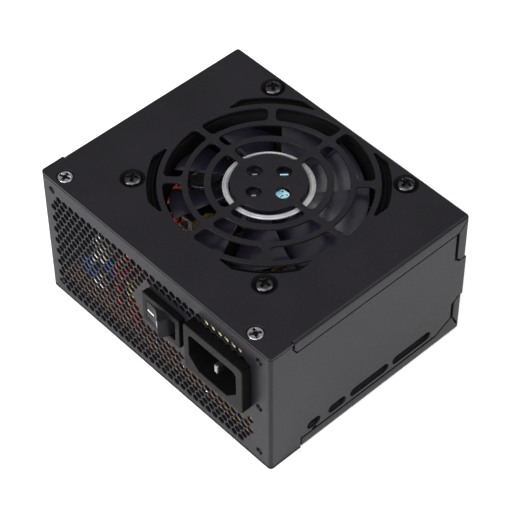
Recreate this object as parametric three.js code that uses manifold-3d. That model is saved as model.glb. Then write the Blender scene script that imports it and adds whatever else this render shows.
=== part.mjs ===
// A compact (SFX size) computer power supply unit, modelled as an assembly of separate pieces.
// Millimetres, +Z up. The rear panel, with the mains inlet and the switch, faces -Y, and the fan
// grille faces +Z. The origin is the centre of the underside of the case.

import * as THREE from 'three';
import Module from 'manifold-3d';
import { mergeGeometries, mergeVertices } from 'three/addons/utils/BufferGeometryUtils.js';

const wasm = await Module();
wasm.setup();

// ---------------------------------------------------------------- driving dimensions

const WIDTH = 125;          // X
const DEPTH = 100;          // Y, without the inlet and the sockets
const HEIGHT = 63.5;        // Z, without the screw heads
const SHEET = 1;            // thickness of both case sheets
const BEND = 1.5;           // outer radius of a bend
const GAP = 0.3;            // clearance between neighbouring pieces
const BEYOND = 1;           // how far a cutting tool reaches past the face it opens

const RIGHT = WIDTH / 2;
const REAR = -DEPTH / 2;
const FRONT = DEPTH / 2;

const TOP_FLANGE = { start: -38.5, bottom: 57.5 };
const UPPER_TAB = { side: 44.9, bottom: 41.4 };
const LOWER_TAB = { side: 45.6, top: 19.5 };
const BASE_FLANGE = { start: -34.3, top: 5, rise: 36.2, peak: 9.8 };
const JOG = 1.3;            // how far the inner shell steps in behind a flange
const SIDE_SLOTS = [[-31.6, -24.9], [-20.8, -11.8], [-9.6, 10.6], [12.7, 33.2]];
const SIDE_SLOT = { low: 7.4, high: 11.6 };
const RELIEF = { y: -28, r: 1.2 };            // the notch above the base flange
const COVER_FLANGE = { inset: 2.5, near: 0.5, far: 8.5, hole: 1.6 };
const BOARD_BOSS = { hole: 1.4, r: 3 };

// The rear panel's honeycomb, drawn at twice the pitch of the pressed one.
const VENT = { pitch: 7.4, row: 6.4, flats: 6.6, top: 52.2, rows: 8, left: -54.2, right: 50.5 };
const MOUNT_HOLES = [[-56.5, 6], [-56.5, 57.5], [56.5, 6], [56.5, 31.75], [56.5, 57.5]];
const MOUNT_HOLE_R = 1.5;

const INLET = { x: 37, z: 39.7, width: 31, height: 24.5, corner: 1.5, proud: 4.4, back: -34 };
const INLET_NECK = { width: 27.2, height: 20.2, hole: [28, 21] };
const INLET_CAVITY = { x: 36.8, z: 39.5, width: 25, height: 16.5, chamfer: 5, floor: -37.5 };
const PIN = { width: 2, height: 4, tip: 0.8, room: 0.3, tail: 6 };
const SWITCH = { x: 7.45, z: 39.9, width: 20.5, height: 15.5, corner: 1, proud: 3, back: -38 };
const SWITCH_BODY = { width: 19, height: 14, hole: [19.6, 14.6] };
const SWITCH_WELL = { width: 15.6, height: 9.9, corner: 0.6, floor: -41 };
const TERMINAL = { at: 5, width: 0.8, height: 4.8, room: 0.3, tail: 7 };
// The rocker's profile for X > 0, before it is tilted, from the middle of its face round to its back.
const ROCKER = {
  pivot: -48.3,
  tilt: 20.5,
  height: 9.3,
  pin: { r: 1.1, reach: 0.9, hole: 1.4, well: 5.9 },
  profile: [[0, -5.75], [2.7, -6.15], [5.36, -7.1], [6, -5.7], [6.2, -3.8], [5.3, 0], [2.5, 3.4]],
};

const FAN = { y: 8, size: 80, depth: 15, screws: 71.5, bore: 38.6, top: 62.2 };
const FAN_FRAME = { flange: 3.2, corner: 3.5, post: 3.4, hole: 2.1, arm: 3.2, armThick: 1.6 };
const FAN_CUP = { r: 13.5, thick: 2, hole: 4 };
const FAN_SLEEVE = { r: 4.6, bore: 3.1, height: 7 };
const HUB = { radius: 15, ring: 17, top: 60.9, bottom: 50.2 };
const BLADES = { count: 9, tip: 37.3, sweep: 15, chord: 33, low: 50.8, high: 60.2, thick: 0.9 };
const GRILLE = {
  rings: [[14.6, 21.5, 4], [24.2, 30.1, 4], [32.4, 39.5, 8]],
  corner: [41.7, 46.3],
  square: 39.5,
  spoke: 2.4,
  diagonal: 3,
  hubHoles: { at: 7.75, r: 3 },
};
const COVER_SCREWS = [[-53.7, -45.3], [49.9, -45.3]];
const FLAT_SCREW = { head: 3, thick: 0.5, shank: 1.2, length: 4.5, seat: 0.65, hole: 1.8 };
const DIMPLE = { floor: 3.8, rim: 4.6, depth: 0.6, hole: 2.2 };   // round a fan screw

const BOARD = { bottom: 8.9, top: 10.5, rear: -48.3, front: 37.5, side: 58.5 };
const BOARD_SCREWS = [[-54, -37], [54, -37], [-55, 33.5], [55, 33.5]];
const DECK = BOARD.top + GAP;   // the height at which parts stand on the main board
const SOCKET_BOARD = { rear: 38.4, front: 40 };
const SOCKETS = [
  { name: 'motherboard_socket_18', pins: 9, x: -34, z: 33 },
  { name: 'motherboard_socket_10', pins: 5, x: 1.5, z: 33 },
  { name: 'processor_socket', pins: 4, x: 26.5, z: 33 },
  { name: 'graphics_socket', pins: 4, x: -44.5, z: 17.5 },
  { name: 'drive_socket', pins: 3, x: -23.5, z: 17.5 },
];
const SOCKET = { pitch: 4.2, height: 9.6, margin: 1.2, proud: 1, hole: 3.2, deep: 8 };
const WIRE = { mains: 1.1, fan: 1.2 };        // radii

// ---------------------------------------------------------------- shape helpers

const unit = new THREE.Group();
const radians = THREE.MathUtils.degToRad;

const FINISHES = {
  blackSteel: [0x2d2c2f, 0.5, 0.3],
  bareSteel: [0xb9babd, 0.35, 0.9],
  darkSteel: [0x3a3a3e, 0.35, 0.8],
  blackPlastic: [0x1b1b1d, 0.5, 0],
  fanPlastic: [0x1d1a26, 0.35, 0],
  brass: [0xc9a75c, 0.35, 0.9],
  copper: [0xa9562c, 0.4, 0.8],
  aluminium: [0xa4a7ab, 0.4, 0.9],
  greenBoard: [0x7a5f38, 0.6, 0],
  cream: [0xe6ddc0, 0.6, 0],
  yellow: [0xd9c552, 0.6, 0],
  blue: [0x1f4fa8, 0.4, 0],
  red: [0xb03a24, 0.5, 0],
  brown: [0x6b3a20, 0.5, 0],
  grey: [0x55565a, 0.6, 0],
};

// Adds one named piece to the unit.
function add(name, geometry, finish) {
  const [color, roughness, metalness] = FINISHES[finish];
  const mesh = new THREE.Mesh(geometry, new THREE.MeshStandardMaterial({ color, roughness, metalness }));
  mesh.name = name;
  unit.add(mesh);
}

// A closed geometry as a solid, with its shared vertices merged and its empty triangles dropped.
function solidOf(geometry) {
  const bare = geometry.clone();
  bare.deleteAttribute('normal');
  bare.deleteAttribute('uv');
  const merged = mergeVertices(bare, 1e-4);
  const corners = merged.index.array;
  const triVerts = [];
  for (let i = 0; i < corners.length; i += 3) {
    const [a, b, c] = [corners[i], corners[i + 1], corners[i + 2]];
    if (a !== b && b !== c && c !== a) triVerts.push(a, b, c);
  }
  const mesh = new wasm.Mesh({
    numProp: 3,
    vertProperties: Float32Array.from(merged.attributes.position.array),
    triVerts: Uint32Array.from(triVerts),
  });
  return new wasm.Manifold(mesh);
}

function geometryOf(solid) {
  const mesh = solid.getMesh();
  const geometry = new THREE.BufferGeometry();
  geometry.setAttribute('position', new THREE.BufferAttribute(Float32Array.from(mesh.vertProperties), 3));
  geometry.setIndex(new THREE.BufferAttribute(Uint32Array.from(mesh.triVerts), 1));
  geometry.computeVertexNormals();
  return geometry;
}

function join(...geometries) {
  return geometryOf(geometries.map(solidOf).reduce((whole, next) => whole.add(next)));
}

function cut(geometry, ...tools) {
  return geometryOf(tools.map(solidOf).reduce((whole, tool) => whole.subtract(tool), solidOf(geometry)));
}

function overlap(...geometries) {
  return geometryOf(geometries.map(solidOf).reduce((whole, next) => whole.intersect(next)));
}

// Separate closed geometries, which don't touch each other, as one cutting tool.
function several(geometries) {
  return mergeGeometries(geometries.map((geometry) => (geometry.index ? geometry.toNonIndexed() : geometry)));
}

function block([x0, x1], [y0, y1], [z0, z1]) {
  const geometry = new THREE.BoxGeometry(x1 - x0, y1 - y0, z1 - z0);
  return geometry.translate((x0 + x1) / 2, (y0 + y1) / 2, (z0 + z1) / 2);
}

function outline(points) {
  return new THREE.Shape(points.map(([u, v]) => new THREE.Vector2(u, v)));
}

// A rectangle from (u0, v0) to (u1, v1) with round corners.
function rounded([u0, u1], [v0, v1], r) {
  const shape = new THREE.Shape();
  shape.absarc(u0 + r, v0 + r, r, Math.PI, 1.5 * Math.PI);
  shape.absarc(u1 - r, v0 + r, r, -0.5 * Math.PI, 0);
  shape.absarc(u1 - r, v1 - r, r, 0, 0.5 * Math.PI);
  shape.absarc(u0 + r, v1 - r, r, 0.5 * Math.PI, Math.PI);
  return shape;
}

function centred(x, z, width, height) {
  return [[x - width / 2, x + width / 2], [z - height / 2, z + height / 2]];
}

// An outline in X and Y, thickened from z0 to z1.
function slabZ(shape, [z0, z1], curveSegments = 4) {
  const geometry = new THREE.ExtrudeGeometry(shape, { depth: z1 - z0, bevelEnabled: false, curveSegments });
  return geometry.translate(0, 0, z0);
}

// An outline in X and Z, thickened from y0 to y1.
function slabY(shape, [y0, y1], curveSegments = 4) {
  const geometry = new THREE.ExtrudeGeometry(shape, { depth: y1 - y0, bevelEnabled: false, curveSegments });
  return geometry.rotateX(Math.PI / 2).translate(0, y1, 0);
}

// An outline in Y and Z, thickened from x0 to x1.
function slabX(shape, [x0, x1], curveSegments = 4) {
  const geometry = new THREE.ExtrudeGeometry(shape, { depth: x1 - x0, bevelEnabled: false, curveSegments });
  const turn = new THREE.Matrix4().set(0, 0, 1, 0, 1, 0, 0, 0, 0, 1, 0, 0, 0, 0, 0, 1);
  return geometry.applyMatrix4(turn).translate(x0, 0, 0);
}

// A profile of [radius, height] points, anticlockwise from the axis, turned about Z at (x, y).
function turned(profile, segments, [x, y] = [0, 0]) {
  const points = profile.map(([r, z]) => new THREE.Vector2(r, z));
  return new THREE.LatheGeometry(points, segments).rotateX(Math.PI / 2).translate(x, y, 0);
}

function rod(r, [z0, z1], segments, at) {
  return turned([[0, z0], [r, z0], [r, z1], [0, z1]], segments, at);
}

function ring(inner, outer, [z0, z1], segments, at) {
  return turned([[inner, z0], [outer, z0], [outer, z1], [inner, z1], [inner, z0]], segments, at);
}

// A rod along Y from y0 to y1, round (x, z).
function rodY(r, [y0, y1], segments, [x, z]) {
  return rod(r, [0, y1 - y0], segments).rotateX(Math.PI / 2).translate(x, y1, z);
}

// A rod along X from x0 to x1, round (y, z).
function rodX(r, [x0, x1], segments, [y, z]) {
  return rod(r, [0, x1 - x0], segments).rotateY(Math.PI / 2).translate(x0, y, z);
}

// A round wire along a smooth curve through the points.
function wire(r, points, steps = 12, sides = 6) {
  const section = new THREE.Shape();
  for (let i = 0; i < sides; i += 1) {
    const angle = (2 * Math.PI * i) / sides;
    if (i === 0) section.moveTo(r, 0);
    else section.lineTo(r * Math.cos(angle), r * Math.sin(angle));
  }
  const extrudePath = new THREE.CatmullRomCurve3(points.map((point) => new THREE.Vector3(...point)));
  return new THREE.ExtrudeGeometry(section, { steps, extrudePath });
}

// A range of X on the outer side of the case: side is 1 for +X and -1 for -X.
function sideRange(side, inner, outer) {
  return side > 0 ? [inner, outer] : [-outer, -inner];
}

// ---------------------------------------------------------------- fan grille openings

function polar(r, angle) {
  return [r * Math.cos(angle), r * Math.sin(angle)];
}

function arcPoints([cx, cy], r, from, to, steps) {
  const points = [];
  for (let i = 0; i <= steps; i += 1) {
    const [x, y] = polar(r, from + ((to - from) * i) / steps);
    points.push([cx + x, cy + y]);
  }
  return points;
}

// The outline of a slot between two rings and two straight spokes, with round corners.
function ringSlot([inner, outer], [from, to], [webFrom, webTo], round) {
  const quarter = Math.PI / 2;
  const lean = (web, r) => Math.asin((web / 2 + round) / r);
  const far = outer - round;
  const near = inner + round;
  const a = from + lean(webFrom, far);
  const b = to - lean(webTo, far);
  const c = to - lean(webTo, near);
  const d = from + lean(webFrom, near);
  const steps = Math.max(3, Math.round(((b - a) * outer) / 6));
  return [
    ...arcPoints(polar(far, a), round, from - quarter, a, 2),
    ...arcPoints([0, 0], outer, a, b, steps).slice(1, -1),
    ...arcPoints(polar(far, b), round, b, to + quarter, 2),
    ...arcPoints(polar(near, c), round, to + quarter, c + Math.PI, 2),
    ...arcPoints([0, 0], inner, c, d, Math.max(2, steps - 1)).slice(1, -1),
    ...arcPoints(polar(near, d), round, d + Math.PI, from + 3 * quarter, 2),
  ];
}

// The thin arc outside the rings in one corner of the grille's square.
function cornerSlot(turn) {
  const [inner, outer] = GRILLE.corner;
  const limit = GRILLE.square;
  const start = Math.acos(limit / inner);
  const stop = Math.acos(limit / outer);
  return [
    ...arcPoints([0, 0], outer, stop, Math.PI / 2 - stop, 6),
    ...arcPoints([0, 0], inner, Math.PI / 2 - start, start, 8),
  ].map(([x, y]) => {
    const r = Math.hypot(x, y);
    return polar(r, Math.atan2(y, x) + (turn * Math.PI) / 2);
  });
}

function grilleOpenings() {
  const outlines = [];
  for (const [inner, outer, count] of GRILLE.rings) {
    const step = (2 * Math.PI) / count;
    for (let i = 0; i < count; i += 1) {
      const straight = count === 4 ? [GRILLE.spoke, GRILLE.spoke] : [GRILLE.spoke, GRILLE.diagonal];
      const webs = i % 2 === 0 ? straight : [...straight].reverse();
      outlines.push(ringSlot([inner, outer], [i * step, (i + 1) * step], webs, 2));
    }
  }
  for (let turn = 0; turn < 4; turn += 1) {
    outlines.push(cornerSlot(turn));
  }
  for (let i = 0; i < 4; i += 1) {
    const centre = polar(GRILLE.hubHoles.at, (i * Math.PI) / 2);
    outlines.push(arcPoints(centre, GRILLE.hubHoles.r, 0, 2 * Math.PI, 10).slice(0, -1));
  }
  return outlines.map((points) => slabZ(outline(points), [HEIGHT - 3, HEIGHT + 1]).translate(0, FAN.y, 0));
}

// ---------------------------------------------------------------- the case

// The rounded block that the outside of both shells keeps to.
function caseEnvelope() {
  const alongY = slabY(rounded([-RIGHT, RIGHT], [0, HEIGHT], BEND), [REAR - 1, FRONT + 1]);
  const alongZ = slabZ(rounded([-RIGHT, RIGHT], [REAR, FRONT], BEND), [-1, HEIGHT + 1]);
  return overlap(alongY, alongZ);
}

// What the wrap shell's flanges and tabs cover on each side, seen along X. margin is the room round them.
function topFlangeOutline(margin) {
  const { start, bottom } = TOP_FLANGE;
  const tab = UPPER_TAB;
  const wide = margin > 0 ? 1.4 : 0;
  return outline([
    [start - margin - wide / 2, HEIGHT + margin],
    [start - margin - wide / 2, HEIGHT - 3.2],
    [start - margin, HEIGHT - 4.2],
    [start + 1.4 - margin, bottom - margin],
    [tab.side - wide, bottom - margin],
    [tab.side - wide, tab.bottom + 2],
    [tab.side + 1.8 - margin, tab.bottom - margin],
    [FRONT + margin, tab.bottom - margin],
    [FRONT + margin, HEIGHT + margin],
  ]);
}

function baseFlangeOutline(margin) {
  const { start, top, rise, peak } = BASE_FLANGE;
  const tab = LOWER_TAB;
  const wide = margin > 0 ? 1.3 : 0;
  return outline([
    [start - margin, -margin],
    [FRONT + margin, -margin],
    [FRONT + margin, tab.top + margin],
    [tab.side + 1.8 - margin, tab.top + margin],
    [tab.side - wide, tab.top - 1.8],
    [tab.side - wide, peak + 0.4 * margin],
    [rise, top + margin],
    [start - margin, top + margin],
  ]);
}

// The thin slits at the mitred corners of the flanges.
function mitreSlits(side) {
  const range = sideRange(side, RIGHT - SHEET - 0.01, RIGHT + 1);
  const slit = 0.45;
  const upper = outline([
    [UPPER_TAB.side - 1, TOP_FLANGE.bottom - 1],
    [UPPER_TAB.side - 1 + slit, TOP_FLANGE.bottom - 1 - slit],
    [FRONT - 1, HEIGHT - 2 - slit],
    [FRONT - 1 - slit, HEIGHT - 2],
  ]);
  const lower = outline([
    [LOWER_TAB.side - 1, BASE_FLANGE.peak + 1],
    [FRONT - 0.9, 2],
    [FRONT - 0.9 + slit, 2.3],
    [LOWER_TAB.side - 1 + slit, BASE_FLANGE.peak + 1.3],
  ]);
  return [slabX(upper, range), slabX(lower, range)];
}

// The outer sheet: fan side, front panel and underside in one C, with side flanges and tabs.
function wrapShell() {
  const hollow = rounded([REAR - 20, FRONT - SHEET], [SHEET, HEIGHT - SHEET], BEND - SHEET);
  const sheet = cut(
    slabX(rounded([REAR - 10, FRONT], [0, HEIGHT], BEND), [-RIGHT, RIGHT]),
    slabX(hollow, [-RIGHT - 1, RIGHT + 1]),
    block([-RIGHT - 1, RIGHT + 1], [REAR - 30, REAR], [-1, HEIGHT + 1]),
  );
  const pieces = [sheet];
  const cuts = [];
  for (const side of [1, -1]) {
    const skin = sideRange(side, RIGHT - SHEET, RIGHT);
    pieces.push(slabX(topFlangeOutline(0), skin), slabX(baseFlangeOutline(0), skin));
    cuts.push(...mitreSlits(side));
    const between = [LOWER_TAB.top, UPPER_TAB.bottom];
    cuts.push(block(sideRange(side, RIGHT - SHEET - GAP, RIGHT + 1), [FRONT - 2, FRONT + 1], between));
  }
  const folded = overlap(join(...pieces), caseEnvelope());
  const { hole, r } = BOARD_BOSS;
  const bosses = BOARD_SCREWS.map((at) => ring(hole, r, [SHEET / 2, BOARD.bottom - 0.1], 8, at));
  const openings = [several(grilleOpenings()), ...topHoles(), ...baseHoles(), ...socketWindows()];
  return join(cut(folded, ...cuts, ...openings), ...bosses);
}

// The dished holes of the fan screws and the seated ones of the cover screws.
function topHoles() {
  const reach = FAN.screws / 2;
  const through = [HEIGHT - 3, HEIGHT + 1];
  const { floor, rim, depth, hole } = DIMPLE;
  const above = HEIGHT + 0.2;
  const dish = [[0, HEIGHT - depth], [floor, HEIGHT - depth], [rim, above], [0, above]];
  const holes = [];
  for (const x of [-reach, reach]) {
    for (const y of [FAN.y - reach, FAN.y + reach]) {
      holes.push(turned(dish, 12, [x, y]));
      holes.push(rod(hole, through, 8, [x, y]));
    }
  }
  for (const at of COVER_SCREWS) {
    holes.push(screwSeat(1, at), rod(FLAT_SCREW.hole, through, 8, at));
  }
  return holes;
}

// The shallow round seat of a flat-headed screw; up is 1 for the fan side and -1 for the underside.
function screwSeat(up, at) {
  const floor = up > 0 ? [HEIGHT - FLAT_SCREW.seat, HEIGHT + 1] : [-1, FLAT_SCREW.seat];
  return rod(FLAT_SCREW.head + 0.5, floor, 12, at);
}

function baseHoles() {
  return COVER_SCREWS.flatMap((at) => [screwSeat(-1, at), rod(FLAT_SCREW.hole, [-1, SHEET + 1], 8, at)]);
}

function socketWindows() {
  return SOCKETS.map(({ pins, x, z }) => {
    const width = socketWidth(pins) + 2 * GAP;
    return slabY(outlineBox(centred(x, z, width, SOCKET.height + 2 * GAP)), [FRONT - 3, FRONT + 2]);
  });
}

function socketWidth(pins) {
  return SOCKET.pitch * pins + SOCKET.margin;
}

function outlineBox([[u0, u1], [v0, v1]]) {
  return outline([[u0, v0], [u1, v0], [u1, v1], [u0, v1]]);
}

// The inner sheet: rear panel and both sides in one U, with small flanges for the cover screws.
function rearShell() {
  const low = SHEET + GAP;
  const high = HEIGHT - SHEET - GAP;
  const walls = cut(
    slabZ(rounded([-RIGHT, RIGHT], [REAR, FRONT + 10], BEND), [low, high]),
    slabZ(rounded([SHEET - RIGHT, RIGHT - SHEET], [REAR + SHEET, FRONT + 20], BEND - SHEET), [0, HEIGHT]),
    block([-RIGHT - 1, RIGHT + 1], [FRONT, FRONT + 30], [0, HEIGHT]),
  );
  const pieces = [walls];
  const cuts = [];
  for (const side of [1, -1]) {
    pieces.push(...steppedEdges(side, low, high));
    const outside = sideRange(side, RIGHT - JOG, RIGHT + 1);
    cuts.push(slabX(topFlangeOutline(GAP), outside), slabX(baseFlangeOutline(GAP), outside));
    cuts.push(...sideOpenings(side));
  }
  const { inset, near, far, hole } = COVER_FLANGE;
  for (const range of [[high - SHEET, high], [low, low + SHEET]]) {
    pieces.push(block([inset - RIGHT, RIGHT - inset], [REAR + near, REAR + far], range));
  }
  for (const at of COVER_SCREWS) {
    cuts.push(rod(hole, [-1, HEIGHT + 1], 8, at));
  }
  return cut(join(...pieces), ...cuts, several(rearOpenings()));
}

// The strips of the side walls that are stepped inwards behind the flanges and tabs.
function steppedEdges(side, low, high) {
  const skin = sideRange(side, RIGHT - JOG - SHEET, RIGHT - JOG + 0.4);
  const inside = FRONT - SHEET - GAP;
  const upper = outline([
    [TOP_FLANGE.start - 3, high], [TOP_FLANGE.start - 3, TOP_FLANGE.bottom - 2],
    [UPPER_TAB.side - 3, TOP_FLANGE.bottom - 2], [UPPER_TAB.side - 3, UPPER_TAB.bottom - 2],
    [inside, UPPER_TAB.bottom - 2], [inside, high],
  ]);
  const lower = outline([
    [BASE_FLANGE.start - 2, low], [inside, low], [inside, LOWER_TAB.top + 2],
    [LOWER_TAB.side - 3, LOWER_TAB.top + 2], [LOWER_TAB.side - 3, BASE_FLANGE.peak + 1],
    [BASE_FLANGE.rise - 0.5, BASE_FLANGE.top + 2.2], [BASE_FLANGE.start - 2, BASE_FLANGE.top + 2.2],
  ]);
  return [slabX(upper, skin), slabX(lower, skin)];
}

// The round-ended vents low in a side wall, and the small relief above the base flange.
function sideOpenings(side) {
  const range = sideRange(side, RIGHT - 4, RIGHT + 1);
  const { low, high } = SIDE_SLOT;
  const round = (high - low) / 2 - 0.01;
  const openings = SIDE_SLOTS.map((span) => slabX(rounded(span, [low, high], round), range));
  openings.push(rodX(RELIEF.r, range, 10, [RELIEF.y, BASE_FLANGE.top + GAP]));
  return openings;
}

// Whether a hexagon may stand at (x, z) on the rear panel, clear of the switch, the inlet and the corners.
function ventAllowed(x, z, row) {
  const endRow = row === 0 || row === VENT.rows - 1;
  const nearCorner = endRow && (x < VENT.left + 3 || x > VENT.right - 5);
  const nearSwitch = x > -9 && z > 26 && z < 51;
  const nearInlet = x > 18 && z > 20;
  return !(nearCorner || nearSwitch || nearInlet);
}

function hexagon(x, z) {
  const radius = VENT.flats / Math.sqrt(3);
  const points = [];
  for (let i = 0; i < 6; i += 1) {
    const [u, v] = polar(radius, radians(90 + 60 * i));
    points.push([x + u, z + v]);
  }
  return outline(points);
}

function rearOpenings() {
  const through = [REAR - BEYOND, REAR + SHEET + BEYOND];
  const openings = [];
  for (let row = 0; row < VENT.rows; row += 1) {
    const z = VENT.top - row * VENT.row;
    const shift = row % 2 === 0 ? 0 : VENT.pitch / 2;
    for (let x = VENT.left + shift; x <= VENT.right; x += VENT.pitch) {
      if (ventAllowed(x, z, row)) openings.push(slabY(hexagon(x, z), through));
    }
  }
  for (const [x, z] of MOUNT_HOLES) {
    openings.push(rodY(MOUNT_HOLE_R, through, 10, [x, z]));
  }
  openings.push(slabY(outlineBox(centred(INLET.x, INLET.z, ...INLET_NECK.hole)), through));
  openings.push(slabY(outlineBox(centred(SWITCH.x, SWITCH.z, ...SWITCH_BODY.hole)), through));
  return openings;
}

// ---------------------------------------------------------------- screws

// A pan-head screw with a cross recess. z is the underside of the head.
function panScrew([x, y], z, { head, rise, shank, length }) {
  const body = join(
    turned([[0, 0], [head, 0], [head, rise * 0.45], [head * 0.7, rise * 0.88], [0, rise]], 10),
    rod(shank, [-length, 0.1], 6),
  );
  return crossRecess(body, head * 0.55, rise).translate(x, y, z);
}

// A flat-headed screw pointing down from the fan side (up is 1) or up from the underside (up is -1).
function flatScrew([x, y], up) {
  const { head, shank, thick, length } = FLAT_SCREW;
  const body = join(
    turned([[0, -thick], [head, -thick], [head, -0.15], [head - 0.3, 0], [0, 0]], 10),
    rod(shank, [-length, 0.1 - thick], 6),
  );
  const screw = crossRecess(body, head * 0.55, 0);
  if (up < 0) screw.rotateX(Math.PI);
  return screw.translate(x, y, up > 0 ? HEIGHT - 0.05 : 0.05);
}

function crossRecess(body, reach, top) {
  const deep = [top - 0.9, top + 1];
  return cut(
    body,
    block([-reach, reach], [-0.35, 0.35], deep),
    block([-0.35, 0.35], [-reach, reach], deep),
  );
}

function addScrews() {
  const reach = FAN.screws / 2;
  const fanScrew = { head: 3.6, rise: 1.7, shank: 1.8, length: 6 };
  const corners = [[-reach, reach], [reach, reach], [-reach, -reach], [reach, -reach]];
  corners.forEach(([x, y], i) => {
    add(`fan_screw_${i + 1}`, panScrew([x, FAN.y + y], HEIGHT - 0.5, fanScrew), 'darkSteel');
  });
  COVER_SCREWS.forEach((at, i) => {
    add(`cover_screw_${i + 1}`, flatScrew(at, 1), 'bareSteel');
    add(`base_screw_${i + 1}`, flatScrew(at, -1), 'bareSteel');
  });
  const boardScrew = { head: 2.8, rise: 1.6, shank: 1.2, length: 4.5 };
  BOARD_SCREWS.forEach((at, i) => {
    add(`board_screw_${i + 1}`, panScrew(at, BOARD.top + 0.2, boardScrew), 'bareSteel');
  });
}

// ---------------------------------------------------------------- mains inlet

function inletCavity() {
  const { x, z, width, height, chamfer, floor } = INLET_CAVITY;
  const [[u0, u1], [v0, v1]] = centred(x, z, width, height);
  const r = 2;
  const shape = new THREE.Shape();
  shape.moveTo(u0 + chamfer, v0);
  shape.lineTo(u1 - chamfer, v0);
  shape.lineTo(u1, v0 + chamfer);
  shape.absarc(u1 - r, v1 - r, r, 0, Math.PI / 2);
  shape.absarc(u0 + r, v1 - r, r, Math.PI / 2, Math.PI);
  shape.lineTo(u0, v0 + chamfer);
  return slabY(shape, [REAR - INLET.proud - 1, floor]);
}

const PINS = [
  { name: 'inlet_pin_line', x: -7, z: 2.25, recess: 4.5 },
  { name: 'inlet_pin_neutral', x: 7, z: 2.25, recess: 4.5 },
  { name: 'inlet_pin_earth', x: 0, z: -1.75, recess: 1.8 },
];

function addInlet() {
  const { x, z, width, height, proud, back } = INLET;
  const { corner } = INLET;
  const shroud = slabY(rounded(...centred(x, z, width, height), corner), [REAR - proud, REAR - 0.1]);
  const neck = block(...centredBlock(x, z, INLET_NECK.width, INLET_NECK.height, [REAR - 1, back]));
  const hole = [PIN.width + PIN.room, PIN.height + PIN.room];
  const depth = [INLET_CAVITY.floor - BEYOND, back + BEYOND];
  const pinHoles = PINS.map((pin) => block(...centredBlock(...pinPlace(pin), ...hole, depth)));
  add('inlet_housing', cut(join(shroud, neck), inletCavity(), ...pinHoles), 'blackPlastic');
  for (const pin of PINS) {
    const [px, pz] = pinPlace(pin);
    const { width: wide, height: tall, tip } = PIN;
    const front = REAR - proud + pin.recess;
    const blade = block(...centredBlock(px, pz, wide, tall, [front + tip, back]));
    const nose = block(...centredBlock(px, pz, wide - tip, tall - tip, [front, back]));
    const tail = block(...centredBlock(px, pz, 0.8, 3.8, [back - 0.5, back + PIN.tail]));
    add(pin.name, join(blade, nose, tail), 'bareSteel');
  }
}

function pinPlace(pin) {
  return [INLET_CAVITY.x + pin.x, INLET_CAVITY.z + pin.z];
}

function centredBlock(x, z, width, height, spanY) {
  const [spanX, spanZ] = centred(x, z, width, height);
  return [spanX, spanY, spanZ];
}

// ---------------------------------------------------------------- switch

function addSwitch() {
  const { x, z, width, height, corner, proud, back } = SWITCH;
  const well = SWITCH_WELL;
  const { pin, pivot } = ROCKER;
  const bezel = slabY(rounded(...centred(x, z, width, height), corner), [REAR - proud, REAR - 0.1]);
  const body = block(...centredBlock(x, z, SWITCH_BODY.width, SWITCH_BODY.height, [REAR - 1, back]));
  const wellShape = rounded(...centred(x, z, well.width, well.height), well.corner);
  const opening = slabY(wellShape, [REAR - proud - BEYOND, well.floor]);
  const pivots = rod(pin.hole, [z - pin.well, z + pin.well], 10, [x, pivot]);
  const { at, width: wide, height: tall, room, tail } = TERMINAL;
  const slots = [-at, at].map((u) => (
    block(...centredBlock(x + u, z, wide + room, tall + room, [well.floor - BEYOND, back + BEYOND]))
  ));
  add('switch_housing', cut(join(bezel, body), opening, pivots, ...slots), 'blackPlastic');
  const reach = [well.floor - 1.5, back + tail];
  add('switch_terminal_in', block(...centredBlock(x + at, z, wide, tall, reach)), 'brass');
  add('switch_terminal_out', block(...centredBlock(x - at, z, wide, tall, reach)), 'brass');
  add('rocker', rocker(), 'blackPlastic');
}

// The rocker, tilted to its on position: the -X half is pressed in and the +X half stands out.
function rocker() {
  const { profile, height, tilt, pivot, pin } = ROCKER;
  const mirrored = profile.slice(1).map(([u, v]) => [-u, v]);
  const half = height / 2;
  const paddle = slabZ(outline([...profile, ...mirrored.reverse()]), [-half, half]);
  const pins = rod(pin.r, [-half - pin.reach, half + pin.reach], 10);
  return join(paddle, pins).rotateZ(-radians(tilt)).translate(SWITCH.x, pivot, SWITCH.z);
}

// ---------------------------------------------------------------- fan

function addFan() {
  add('fan_frame', fanFrame(), 'blackPlastic');
  add('fan_stator', fanStator(), 'copper');
  add('fan_bearing', ring(1.6, 2.9, [FAN.top - 13.5, FAN.top - 6.8], 14, [0, FAN.y]), 'brass');
  add('fan_rotor', fanRotor(), 'fanPlastic');
  add('fan_hub_ring', hubRing(), 'bareSteel');
  add('fan_shaft', rod(1.3, [FAN.top - 13, HUB.top - 1.3], 12, [0, FAN.y]), 'bareSteel');
  add('fan_lead', wire(WIRE.fan, [
    [-29, -29, 46.6], [-29, -28.6, 44.5], [-23, -21, 37], [-18, -22, 27], [-17, -25, 20], [-17, -25, 18.1],
  ]), 'red');
  add('fan_plug', block([-20, -14], [-27, -23], [DECK, 17.8]), 'cream');
}

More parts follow.
